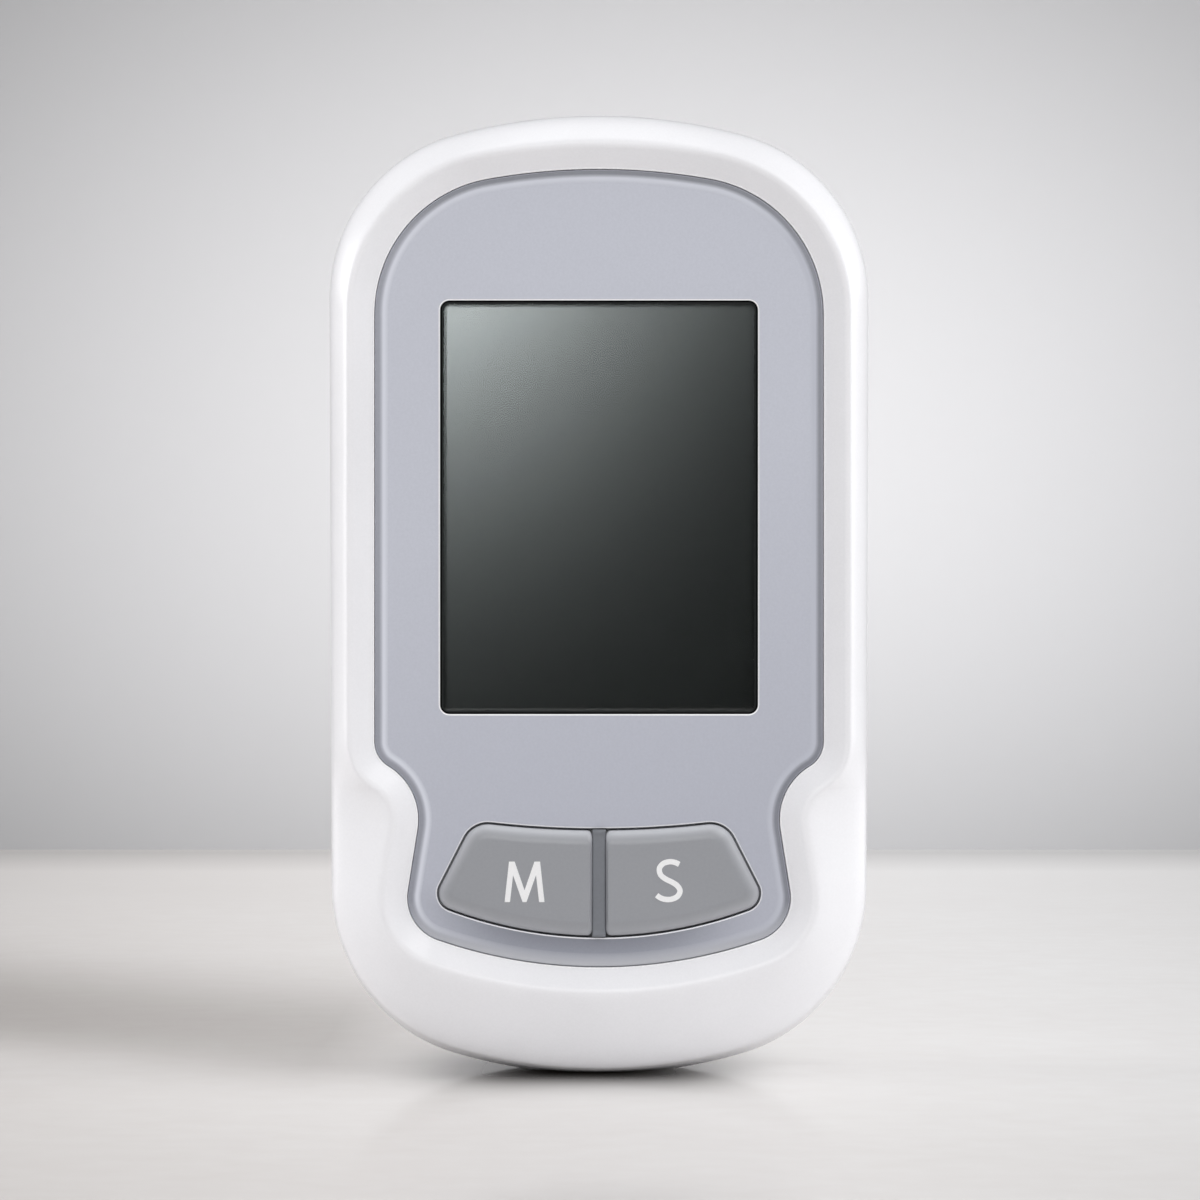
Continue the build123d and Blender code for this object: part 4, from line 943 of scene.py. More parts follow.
def plate_half(grow):
    """Right half of the faceplate's outline, moved outwards by grow, and the stations on it."""
    down = (0.0, -1.0)
    slope = (-sin(radians(SHOULDER_ANGLE)), -cos(radians(SHOULDER_ANGLE)))
    flare = (sin(radians(FLARE_ANGLE)), -cos(radians(FLARE_ANGLE)))
    half = PLATE_HALF + grow
    waist_z = SHOULDER_Z - (PLATE_HALF - WAIST_X) / tan(radians(SHOULDER_ANGLE))
    on_slope = (PLATE_HALF - grow * slope[1], SHOULDER_Z + grow * slope[0])
    on_flare = (WAIST_X - grow * flare[1], waist_z + grow * flare[0])
    shoulder = line_meet((half, 0.0), down, on_slope, slope)
    waist = line_meet(on_slope, slope, on_flare, flare)
    shoulder_round, waist_round = SHOULDER_ROUND + grow, WAIST_ROUND - grow
    reach = shoulder_round * tan(radians(SHOULDER_ANGLE / 2))
    dip = waist_round * tan(radians((SHOULDER_ANGLE + FLARE_ANGLE) / 2))
    shoulder_in = (half, shoulder[1] + reach)
    shoulder_out = (shoulder[0] + slope[0] * reach, shoulder[1] + slope[1] * reach)
    waist_in = (waist[0] - slope[0] * dip, waist[1] - slope[1] * dip)
    waist_out = (waist[0] + flare[0] * dip, waist[1] + flare[1] * dip)
    shoulder_centre = (half - shoulder_round, shoulder_in[1])
    waist_centre = (waist_in[0] - slope[1] * waist_round, waist_in[1] + slope[0] * waist_round)
    top_centre, low_centre = PLATE_TOP - PLATE_TOP_ARC, PLATE_LOW + PLATE_LOW_ARC
    top_radius, low_radius = PLATE_TOP_ARC + grow, PLATE_LOW_ARC + grow
    top_round, low_round = PLATE_TOP_CORNER + grow, PLATE_LOW_CORNER + grow
    high, high_meets = round_at_arc((half, 0.0), down, top_centre, top_radius, top_round, True)
    deep, deep_meets = round_at_arc(on_flare, flare, low_centre, low_radius, low_round, False)
    turn = angle_from((0, top_centre), high)
    points = arc((0, top_centre), top_radius, pi / 2, turn, STRETCHES["top"])
    points += arc(high, top_round, turn, 0, STRETCHES["top_corner"])
    points += straight(high_meets, shoulder_in, STRETCHES["side"])
    slope_turn = -radians(SHOULDER_ANGLE)
    flare_turn = radians(FLARE_ANGLE)
    points += arc(shoulder_centre, shoulder_round, 0, slope_turn, STRETCHES["shoulder"])
    points += straight(shoulder_out, waist_in, STRETCHES["run"])
    points += arc(waist_centre, waist_round, pi + slope_turn, pi + flare_turn, STRETCHES["waist"])
    points += straight(waist_out, deep_meets, STRETCHES["flare"])
    turn = angle_from((0, low_centre), deep)
    points += arc(deep, low_round, flare_turn, turn, STRETCHES["low_corner"])
    points += arc((0, low_centre), low_radius, turn, -pi / 2, STRETCHES["foot"])
    stations = [shoulder_in[1], shoulder_out[1], waist_in[1], waist_out[1]]
    return points + [(0, PLATE_LOW - grow)], stations


def whole_ring(half, depth):
    """A closed ring at a depth from the right half of an outline, none of it below the foot."""
    left = [(-x, z) for x, z in reversed(half[1:-1])]
    depths = depth if isinstance(depth, list) else [depth] * len(half)
    left_depths = list(reversed(depths[1:-1]))
    return [point(x, d, max(z, 0.0)) for (x, z), d in zip(half + left, depths + left_depths)]


def between(low, high, share):
    return [tuple(a + (b - a) * share for a, b in zip(p, q)) for p, q in zip(low, high)]


def join_rings(rings, closed):
    """Quads between neighbouring rings, and from the last ring back to the first where closed."""
    count = len(rings[0])
    faces = []
    pairs = list(zip(range(len(rings)), range(1, len(rings))))
    if closed:
        pairs.append((len(rings) - 1, 0))
    for a, b in pairs:
        for i in range(count):
            j = (i + 1) % count
            faces.append((a * count + i, a * count + j, b * count + j, b * count + i))
    return [p for ring in rings for p in ring], faces


def face_outwards(piece):
    mesh = bmesh.new()
    mesh.from_mesh(piece.data)
    bmesh.ops.remove_doubles(mesh, verts=mesh.verts, dist=SAME_POINT * MM)
    bmesh.ops.recalc_face_normals(mesh, faces=mesh.faces)
    mesh.to_mesh(piece.data)
    mesh.free()


CREST_GROW = BEVEL_WIDTH + CREST_LAND
CREST_HALF, STATIONS = plate_half(CREST_GROW)


def slope_drop(out, soft):
    """How far the slope has dropped at a share of its width out from the crest: softly off the crest,
    then straight, then round into the skirt."""
    straight_part = (sqrt(out**2 + soft**2) - soft) / (sqrt(1 + soft**2) - soft)
    round_part = 1 - sqrt(1 - out**SLOPE_TURN)
    return SLOPE_STRAIGHT * straight_part + (1 - SLOPE_STRAIGHT) * round_part


def front_case_rings():
    """Rings round the front half: up its skirt and slope, over the crest, down the bevel into the
    faceplate's pocket and back along the inside of the wall."""
    rings = [whole_ring(case_half(*insets, STATIONS), depth) for depth, *insets in SKIRT]
    brink_depth, *insets = SKIRT[-1]
    brink = case_half(*insets, STATIONS)
    for i in range(1, SLOPE_RINGS + 1):
        share = (1 - cos(pi * i / SLOPE_RINGS)) / 2
        drops = [
            slope_drop(1 - share, CREST_SOFT / dist(low, high)) for low, high in zip(brink, CREST_HALF)
        ]
        depths = [CREST_DEPTH - (CREST_DEPTH - brink_depth) * drop for drop in drops]
        rings.append(whole_ring(between(brink, CREST_HALF, share), depths))
    for grow, depth in crest_profile():
        rings.append(whole_ring(plate_half(grow)[0], depth))
    inner = case_half(WALL, WALL, WALL, STATIONS)
    rebate = case_half(REBATE, REBATE, REBATE, STATIONS)
    rings.append(whole_ring(plate_half(-POCKET_LEDGE)[0], POCKET_DEPTH))
    rings.append(whole_ring(plate_half(-POCKET_LEDGE)[0], FRONT_WALL_DEPTH))
    rings.append(whole_ring(inner, FRONT_WALL_DEPTH))
    rings.append(whole_ring(inner, REBATE_DEPTH))
    rings.append(whole_ring(rebate, REBATE_DEPTH))
    rings.append(whole_ring(rebate, 0.0))
    return rings


def crest_profile():
    """How far out from the faceplate, and how deep, the rings from the crest's land to the pocket lie.
    The crest and the lower edge of the bevel are rolled."""
    fall = atan2(CREST_DEPTH - PLATE_DEPTH, BEVEL_WIDTH)
    reach = CREST_ROLL * tan(fall / 2)
    profile = []
    for i in range(ROLL_STEPS + 1):
        turn = fall * i / ROLL_STEPS
        grow = BEVEL_WIDTH + reach - CREST_ROLL * sin(turn)
        profile.append((grow, CREST_DEPTH - CREST_ROLL * (1 - cos(turn))))
    left = pi / 2 - fall
    reach = EDGE_ROLL * tan(left / 2)
    start = (reach * cos(fall), PLATE_DEPTH + reach * sin(fall))
    for i in range(ROLL_STEPS + 1):
        turn = fall + left * i / ROLL_STEPS
        grow = start[0] - EDGE_ROLL * (sin(turn) - sin(fall))
        profile.append((grow, start[1] - EDGE_ROLL * (cos(fall) - cos(turn))))
    profile.append((0.0, POCKET_DEPTH))
    return profile


def plain_mesh(piece):
    """Turns what a piece's modifiers make of it into its own mesh."""
    made = piece.evaluated_get(bpy.context.evaluated_depsgraph_get())
    mesh = bpy.data.meshes.new_from_object(made)
    piece.modifiers.clear()
    piece.data = mesh


def open_port(piece):
    """Cuts the strip's opening through the top wall."""
    (back, front), (low, high) = PORT_DEPTHS, PORT_HEIGHTS
    corners = ((-PORT_HALF, back), (PORT_HALF, back), (PORT_HALF, front), (-PORT_HALF, front))
    points, faces = join_rings([[point(x, depth, z) for x, depth in corners] for z in (low, high)], False)
    faces += [(3, 2, 1, 0), (4, 5, 6, 7)]
    cutter = new_piece("port_cutter", points, faces, WHITE_ABS)
    face_outwards(cutter)
    piece.modifiers.clear()
    opening = piece.modifiers.new("opening", "BOOLEAN")
    opening.operation = "DIFFERENCE"
    opening.solver = "EXACT"
    opening.object = cutter
    plain_mesh(piece)
    bpy.data.objects.remove(cutter)
    set_material(piece, WHITE_ABS)


def front_case():
    points, faces = join_rings(front_case_rings(), closed=True)
    piece = new_piece("front_case", points, faces, WHITE_ABS, SOFT_ANGLE)
    face_outwards(piece)
    open_port(piece)
    smooth(piece, SOFT_ANGLE)
    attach(piece, "case")
    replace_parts(piece, "front_shell")


def smooth_copy(node, name):
    """A copy of a node with the triangles of each flat face joined and its curved faces shaded smooth."""
    source = frame["nodes"][node]
    piece = bpy.data.objects.new(name, source.data.copy())
    bpy.context.scene.collection.objects.link(piece)
    mesh = bmesh.new()
    mesh.from_mesh(piece.data)
    bmesh.ops.remove_doubles(mesh, verts=mesh.verts, dist=MERGE_REACH * MM)
    bmesh.ops.dissolve_limit(mesh, angle_limit=radians(FLAT_ANGLE), verts=mesh.verts, edges=mesh.edges)
    mesh.to_mesh(piece.data)
    mesh.free()
    smooth(piece, COPY_ANGLE)
    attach(piece, source["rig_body"])
    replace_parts(piece, node)


front_case()
for node, name, slot in (
    ("rear_shell", "rear_case", "case_white"),
    ("battery_door", "door_panel", "case_white"),
    ("faceplate", "face_panel", "faceplate_grey"),
    ("battery_left", "left_cell", "cell_jacket"),
    ("battery_right", "right_cell", "cell_jacket"),
    ("strip_port_guide", "strip_port_frame", "port_grey"),
):
    smooth_copy(node, name)


def rounded_box_ring(half, low, high, corner):
    """Closed outline of a rectangle with rounded corners."""
    points = []
    for x, z, turn in (
        (half - corner, high - corner, 0.0),
        (-half + corner, high - corner, pi / 2),
        (-half + corner, low + corner, pi),
        (half - corner, low + corner, 1.5 * pi),
    ):
        last = turn + pi / 2 * (1 + 1 / CORNER_STEPS)
        points += arc((x, z), corner, turn, last, CORNER_STEPS + 1)
    return points


def grown_window(grow, depth):
    """A ring round the window, moved outwards by grow, at a depth."""
    outline = rounded_box_ring(
        WINDOW_HALF + grow, WINDOW_LOW - grow, WINDOW_HIGH + grow, max(WINDOW_CORNER + grow, LEAST_CORNER)
    )
    return [point(x, depth, z) for x, z in outline]


def closed_ring(name, rings, material, angle=SOFT_ANGLE, inward=None):
    """A ring-shaped piece whose cross-section is given by its rings. A tone may follow how far in from
    the outline each of its points lies, in millimetres."""
    points, faces = join_rings(rings, closed=True)
    piece = new_piece(name, points, faces, material, angle)
    if inward:
        piece.data.attributes.new("inward", "FLOAT", "POINT").data.foreach_set("value", inward)
    face_outwards(piece)
    piece.data.set_sharp_from_angle(angle=radians(angle))
    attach(piece, "case")


def capped(name, rings, material, body, angle=SOFT_ANGLE):
    """A solid piece: rings from its back to its front, with a face over each end."""
    points, faces = join_rings(rings, closed=False)
    count = len(rings[0])
    faces.append(tuple(range(count)))
    faces.append(tuple(range(len(points) - count, len(points))))
    piece = new_piece(name, points, faces, material, angle)
    face_outwards(piece)
    piece.data.set_sharp_from_angle(angle=radians(angle))
    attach(piece, body)
    return piece


def display_lens():
    """Lens whose front falls away by a few thousandths near the window's edge, so that its reflection
    softens there."""
    first, last = LENS_FALL_SPAN
    rings = [grown_window(LENS_LAP, LENS_BACK), grown_window(LENS_LAP, LENS_FRONT - 2 * LENS_FALL)]
    for i in range(LENS_STEPS + 1):
        inset = first + (last - first) * i / LENS_STEPS
        drop = LENS_FALL * (1 - i / LENS_STEPS) ** 2
        rings.append(grown_window(-inset, LENS_FRONT - drop))
    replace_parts(capped("display_lens", rings, LENS, "case"), "window_lens")


def window_trim():
    """The printed band round the display, a near-black ring of painted shade in the gap round it, and the
    edge of the opening, pale with a painted highlight.
    """
    top = LENS_FRONT + BORDER_RISE
    low = LENS_FRONT - BORDER_RISE
    border = ((LENS_LAP / 2, top), (-BORDER_WIDTH, top), (-BORDER_WIDTH, low), (LENS_LAP / 2, low))
    # Near-black ring of painted shade in the gap round the lens
    shade_ring_top = top + BORDER_RISE
    shade_ring = (
        (LENS_LAP / 2, shade_ring_top),
        (-GAP_WIDTH, shade_ring_top),
        (-GAP_WIDTH, LENS_FRONT),
        (LENS_LAP / 2, LENS_FRONT),
    )
    # Edge of the opening, pale with a painted highlight
    edge = (
        (EDGE_WIDTH, PLATE_DEPTH + EDGE_RISE),
        (0.0, PLATE_DEPTH - EDGE_RISE),
        (0.0, shade_ring_top - BORDER_RISE),
        (EDGE_WIDTH, shade_ring_top - BORDER_RISE),
    )
    for name, profile, material, slot in (
        ("window_border", border, BORDER_INK, "gasket_foam"),
        ("window_shade_ring", shade_ring, SHADE_RING_BLACK, "gasket_foam"),
        ("window_edge", edge, BRIGHT_EDGE, "faceplate_grey"),
    ):
        closed_ring(name, [grown_window(grow, depth) for grow, depth in profile], material)


def plate_band():
    """The faceplate's falling edge, and the rim's line of painted highlight beside the gap."""
    for name, profile, material, slot in (
        ("face_panel_edge", PLATE_EDGE, EDGE_ABS, "faceplate_grey"),
        ("case_rim_edge", RIM_EDGE, BRIGHT_EDGE, "case_white"),
    ):
        rings = [whole_ring(plate_half(grow)[0], depth) for grow, depth in profile]
        inward = [-grow for (grow, _), ring in zip(profile, rings) for _ in ring]
        closed_ring(name, rings, material, ROUND_ANGLE, inward)


def key_outline(inset, split, corner):
    """Right-hand key, drawn in from the opening by inset, with its groove side at split and that side's
    corners rounded. It runs round from the top of the groove side."""
    counts = KEY_STRETCHES
    top_radius = (KEY_TOP_HALF**2 + KEY_TOP_HOLLOW**2) / (2 * KEY_TOP_HOLLOW)
    over = (0.0, KEY_TOP_MIDDLE + top_radius)
    under = (0.0, KEY_LOW + KEY_LOW_ARC)
    top_radius, low_radius = top_radius + inset, KEY_LOW_ARC - inset
    slant = radians(KEY_SLANT)
    way = (sin(slant), -cos(slant))
    start = (KEY_TOP_HALF - inset * cos(slant), KEY_TOP_MIDDLE + KEY_TOP_HOLLOW - inset * sin(slant))
    high_round, low_round = KEY_TOP_CORNER - inset, KEY_SIDE_CORNER - inset
    high, high_meets = round_at_arc(start, way, over[1], top_radius + 2 * high_round, high_round, False)
    deep, deep_meets = round_at_arc(start, way, under[1], low_radius, low_round, False)
    reach = split + corner
    upper = (reach, over[1] - sqrt((top_radius + corner) ** 2 - reach**2))
    lower = (reach, under[1] - sqrt((low_radius - corner) ** 2 - reach**2))
    points = arc(upper, corner, pi, angle_from(upper, over), counts[0])
    points += arc(over, top_radius, angle_from(over, upper), angle_from(over, high), counts[1])
    points += arc(high, high_round, angle_from(high, over), slant, counts[2])
    points += straight(high_meets, deep_meets, counts[3])
    points += arc(deep, low_round, slant, angle_from(under, deep), counts[4])
    points += arc(under, low_radius, angle_from(under, deep), angle_from(under, lower), counts[5])
    points += arc(lower, corner, angle_from(under, lower), -pi, counts[6])
    return points + straight((split, lower[1]), (split, upper[1]), counts[7])


def key_cap(side, name, node, body):
    """A key whose edges fall away, gently towards the opening and tightly towards the groove, with the
    flange that keeps it in."""
    rings = []
    wall = KEY_DEPTH - KEY_FALL
    for inset, depth in (
        (-FLANGE_REACH, FLANGE_BACK),
        (-FLANGE_REACH, FLANGE_FRONT),
        (KEY_GAP, FLANGE_FRONT),
        (KEY_GAP, wall - KEY_FALL / 3),
    ):
        rings.append((key_outline(inset, KEY_SPLIT, KEY_SPLIT_CORNER), depth))
    for i in range(KEY_STEPS + 1):
        share = i / KEY_STEPS
        outline = key_outline(
            KEY_GAP + KEY_FALL_WIDTH * share,
            KEY_SPLIT + KEY_SPLIT_FALL_WIDTH * share,
            KEY_SPLIT_CORNER - KEY_SPLIT_FALL_WIDTH * share,
        )
        rings.append((outline, KEY_DEPTH - KEY_FALL * (1 - share) ** 2))
    places = [[point(side * x, depth, z) for x, z in outline] for outline, depth in rings]
    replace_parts(capped(name, places, KEY_ABS, body, KEY_ANGLE), node)


def key_opening_edge():
    """The chamfer round the opening of the keys, pale with a painted highlight."""
    rings = []
    for inset, depth in (
        (-EDGE_WIDTH, PLATE_DEPTH + EDGE_RISE),
        (0.0, PLATE_DEPTH - EDGE_RISE),
        (0.0, PLATE_DEPTH - EDGE_DROP),
        (-EDGE_WIDTH, PLATE_DEPTH - EDGE_DROP),
    ):
        right = key_outline(inset, 0.0, MIDDLE_CORNER)
        first, last = KEY_STRETCHES[0], len(right) - KEY_STRETCHES[-1] - KEY_STRETCHES[-2]
        half = right[first + 1 : last]
        left = [(-x, z) for x, z in reversed(half)]
        rings.append([point(x, depth, z) for x, z in half + left])
    closed_ring("key_opening_edge", rings, OPENING_EDGE)


def key_web():
    """The web of the keypad mat in the groove between the keys, with a raised end above and below."""
    top, low = KEY_TOP_MIDDLE - KEY_GAP / 2, KEY_LOW + KEY_GAP / 2
    stations = [(low + inset, share) for inset, share in WEB_END]
    stations += [(top - inset, share) for inset, share in reversed(WEB_END)]
    rings = []
    for z, share in stations:
        depth = WEB_DEPTH + WEB_END_RISE * share
        half = ((WEB_HALF, KEY_BACK), (WEB_HALF, depth - WEB_EDGE), (WEB_HALF - WEB_EDGE, depth))
        section = [(-x, d) for x, d in half] + list(reversed(half))
        rings.append([point(x, d, z) for x, d in section])
    capped("key_web", rings, SILICONE, "case", WEB_ANGLE)


def spine_curve(knots, steps):
    """A smooth curve through the knots."""
    padded = [Vector(knots[0])] + [Vector(k) for k in knots] + [Vector(knots[-1])]
    curve = []
    for a, b, c, d in zip(padded, padded[1:], padded[2:], padded[3:]):
        for i in range(steps):
            t = i / steps
            bend = (2 * a - 5 * b + 4 * c - d) * t * t + (3 * b - a - 3 * c + d) * t**3
            curve.append((2 * b + (c - a) * t + bend) / 2)
    return curve + [padded[-1]]


def letter_s(centre_x):
    """Rings across a stroke that follows the S."""
    spine = spine_curve(S_SPINE, SPINE_STEPS)
    back, front = MARK_DEPTHS
    rings = []
    for i, place in enumerate(spine):
        ahead = (spine[min(i + 1, len(spine) - 1)] - spine[max(i - 1, 0)]).normalized()
        across = Vector((-ahead.y, ahead.x)) * STROKE / 2
        ring = []
        for side, depth in ((-1, back), (-1, front), (1, front), (1, back)):
            spot = place + across * side
            ring.append(point(centre_x + spot.x, depth, MARK_LOW + spot.y))
        rings.append(ring)
    return rings


def letter_m(centre_x):
    """Back and front ring of the M."""
    return [[point(centre_x + x, depth, MARK_LOW + z) for x, z in M_OUTLINE] for depth in MARK_DEPTHS]


def screw_tree():
    """Pan head screws with a cross recess that look to the rear, one on each point, each stopped at its
    own turn."""
    tree = bpy.data.node_groups.new("pan_head_screws", "GeometryNodeTree")
    sockets = [("Geometry", "INPUT", "NodeSocketGeometry")]
    sockets += [(name, "INPUT", "NodeSocketFloat") for name in SCREW_SIZES]
    sockets += [("Seed", "INPUT", "NodeSocketInt"), ("Geometry", "OUTPUT", "NodeSocketGeometry")]
    for name, way, kind in sockets:
        tree.interface.new_socket(name, in_out=way, socket_type=kind)
    given = add(tree, "NodeGroupInput").outputs

    sides = {"Vertices": HEAD_SIDES, "Fill Segments": HEAD_RINGS}
    radius_and_depth = {"Radius": given["Head Radius"], "Depth": given["Head Height"]}
    disc = add(
        tree, "GeometryNodeMeshCylinder", {"fill_type": "TRIANGLE_FAN"}, sides | radius_and_depth
    )
    place = add(tree, "GeometryNodeInputPosition")
    axes = add(tree, "SeparateXYZ", inputs={"Vector": place}).outputs
    flat = add(tree, "CombineXYZ", inputs={"X": axes["X"], "Y": axes["Y"]})
    radius = add(tree, "VectorMath", {"operation": "LENGTH"}, {0: flat})
    share = add(tree, "Math", {"operation": "DIVIDE"}, {0: radius, 1: given["Head Radius"]})
    squared = add(tree, "Math", MULTIPLY, {0: share, 1: share})
    left = add(tree, "Math", {"operation": "SUBTRACT"}, {0: 1.0, 1: squared})
    rise = add(tree, "Math", MULTIPLY, {0: left, 1: given["Crown"]})
    crown = add(tree, "CombineXYZ", inputs={"Z": rise})
    upper = add(tree, "Math", {"operation": "GREATER_THAN"}, {0: axes["Z"], 1: 0.0})
    crowned = add(
        tree,
        "GeometryNodeSetPosition",
        inputs={"Geometry": disc, "Selection": upper, "Offset": crown},
    )
    shank = add(
        tree,
        "GeometryNodeMeshCylinder",
        inputs={
            "Vertices": SHANK_SIDES,
            "Radius": given["Shank Radius"],
            "Depth": given["Shank Length"],
        },
    )
    up = add(tree, "Math", MULTIPLY, {0: given["Head Height"], 1: 0.5})
    down = add(tree, "Math", MULTIPLY_ADD, {0: given["Shank Length"], 1: -0.5, 2: SHANK_LAP * MM})
    top = add(tree, "Math", inputs={0: given["Head Height"], 1: given["Crown"]})
    deep = add(tree, "Math", MULTIPLY, {0: given["Recess Depth"], 1: 2.0})
    parts = [(crowned, up), (shank, down)]
    for wide, tall in (("Recess Length", "Recess Width"), ("Recess Width", "Recess Length")):
        size = add(tree, "CombineXYZ", inputs={"X": given[wide], "Y": given[tall], "Z": deep})
        parts.append((add(tree, "GeometryNodeMeshCube", inputs={"Size": size}), top))
    head, shank, *blades = [
        add(
            tree,
            "GeometryNodeTransform",
            inputs={"Geometry": part, "Translation": add(tree, "CombineXYZ", inputs={"Z": z})},
        ).outputs[0]
        for part, z in parts
    ]
    whole = add(tree, "GeometryNodeMeshBoolean", {"operation": "UNION", "solver": "EXACT"})
    cut = add(
        tree,
        "GeometryNodeMeshBoolean",
        {"operation": "DIFFERENCE", "solver": "EXACT"},
        {"Mesh 1": whole},
    )
    for node, shapes in ((whole, (head, shank)), (cut, blades)):
        for shape in shapes:
            tree.links.new(shape, node.inputs["Mesh 2"])
    rearward = add(
        tree, "GeometryNodeTransform", inputs={"Geometry": cut, "Rotation": (-pi / 2, 0.0, 0.0)}
    )
    turn = add(
        tree,
        "FunctionNodeRandomValue",
        {"data_type": "FLOAT_VECTOR"},
        {"Min": (0.0, 0.0, 0.0), "Max": (0.0, pi / 2, 0.0), "Seed": given["Seed"]},
    )
    placed = add(
        tree,
        "GeometryNodeInstanceOnPoints",
        inputs={"Points": given["Geometry"], "Instance": rearward, "Rotation": turn},
    )
    real = add(tree, "GeometryNodeRealizeInstances", inputs={"Geometry": placed})
    finished = add(tree, "GeometryNodeSetMaterial", inputs={"Geometry": real, "Material": ZINC})
    add(tree, "NodeGroupOutput", inputs={"Geometry": finished})
    return tree


def case_screw_heads():
    """The four screws that hold the case together."""
    piece = new_piece("case_screw_heads", [point(x, SCREW_SEAT, z) for x, z in SCREW_PLACES], [], ZINC)
    piece.modifiers.clear()
    grown = piece.modifiers.new("screws", "NODES")
    grown.node_group = screw_tree()
    sizes = {name: size * MM for name, size in SCREW_SIZES.items()} | {"Seed": SCREW_SEED}
    for socket in grown.node_group.interface.items_tree:
        if socket.name in sizes:
            grown[socket.identifier] = sizes[socket.name]
    plain_mesh(piece)
    set_material(piece, ZINC)
    face_outwards(piece)
    smooth(piece, COPY_ANGLE)
    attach(piece, "case")
    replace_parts(piece, "case_screws")


case_screw_heads()
display_lens()
window_trim()
plate_band()
key_cap(-1, "left_key_cap", "memory_key", "memory_button")
key_cap(1, "right_key_cap", "set_key", "set_button")
key_opening_edge()
key_web()
capped("memory_mark", letter_m(MARK_LEFT_X), KEY_INK, "memory_button")
capped("set_mark", letter_s(MARK_RIGHT_X), KEY_INK, "set_button")


def add_camera():
    data = bpy.data.cameras.new("camera")
    data.lens = CAMERA_LENS
    data.sensor_width = SENSOR
    data.clip_end = CAMERA_REACH
    camera = bpy.data.objects.new("camera", data)
    camera.location = Vector((CAMERA_X, -CAMERA_DISTANCE, CAMERA_Z)) * MM
    camera.rotation_euler = (pi / 2, 0, 0)
    bpy.context.scene.collection.objects.link(camera)
    bpy.context.scene.camera = camera


def area_lamp(name, place, size, power):
    data = bpy.data.lights.new(name, "AREA")
    data.shape = "DISK"
    data.size = size * MM
    data.energy = power
    lamp = bpy.data.objects.new(name, data)
    lamp.location = Vector(place) * MM
    lamp.rotation_euler = (Vector(LAMP_TARGET) - Vector(place)).to_track_quat("-Z", "Y").to_euler()
    bpy.context.scene.collection.objects.link(lamp)


def stone_colour(tree, where, axes):
    """Honed pale stone with a painted pool of light a little right of the meter, soft clouds and small
    flecks that fade with the distance, painted shade on its near side and at its far edge, and a broad
    painted shadow that runs off to the left behind the meter."""
    # Painted pool of light, brightest a little right of the meter
    lit = bell(tree, [distance_term(tree, axes["X"], STONE_BRIGHT_X, STONE_REACH_X, PLAIN_FALL)])
    lit = add(tree, "Math", {"operation": "MAXIMUM"}, {0: lit, 1: STONE_LEAST})
    rightward = add(tree, "MapRange", inputs=span(axes["X"], *WARM_SPAN))
    tone = add(tree, "Mix", MIXED, {0: rightward, 6: linear(WARM_TONE), 7: linear("#ffffff")})
    stone = add(tree, "Mix", MIXED, {0: lit, 6: linear("#000000"), 7: tone})

    plain, nearer, farther = [
        add(tree, "MapRange", inputs=span(axes["Y"], *ends))
        for ends in (PLAIN_SPAN, NEAR_SPAN, FAR_SPAN)
    ]
    patterns = []
    for size, detail in ((CLOUD_SIZE, 6.0), (FLECK_SIZE, 4.0)):
        pattern = {"Vector": where, "Scale": per_metre(size), "Detail": detail}
        noise = add(tree, "TexNoise", inputs=pattern)
        patterns.append(add(tree, "Mix", inputs={0: plain, 2: noise, 3: PATTERN_MEAN}))
    # Painted shadow that runs off to the left behind the meter
    slanted = add(tree, "Math", MULTIPLY_ADD, {0: axes["X"], 1: SHADOW_BAND_SLANT, 2: axes["Y"]})
    offset = add(tree, "Math", inputs={0: slanted, 1: -SHADOW_BAND_Y * MM})
    middle = bell(tree, two_sided(tree, offset, 0.0, SHADOW_BAND_FRONT, SHADOW_BAND_BACK))
    leftward = add(tree, "MapRange", inputs=span(axes["X"], *SHADOW_BAND_SPAN))
    shadow_band = add(tree, "Math", MULTIPLY, {0: middle, 1: leftward})

    # Clouds and flecks, then painted shade on the near side and at the far edge, and the painted shadow
    # behind the meter
    for share, first, last in (
        (patterns[0], CLOUD_TONE, "#ffffff"),
        (patterns[1], FLECK_TONE, "#ffffff"),
        (nearer, NEAR_TONE, "#ffffff"),
        (farther, "#ffffff", FAR_TONE),
        (shadow_band, "#ffffff", SHADOW_BAND_TONE),
    ):
        tint = add(tree, "Mix", MIXED, {0: share, 6: linear(first), 7: linear(last)})
        stone = add(tree, "Mix", TINTED, {0: 1.0, 6: stone, 7: tint})
    return stone


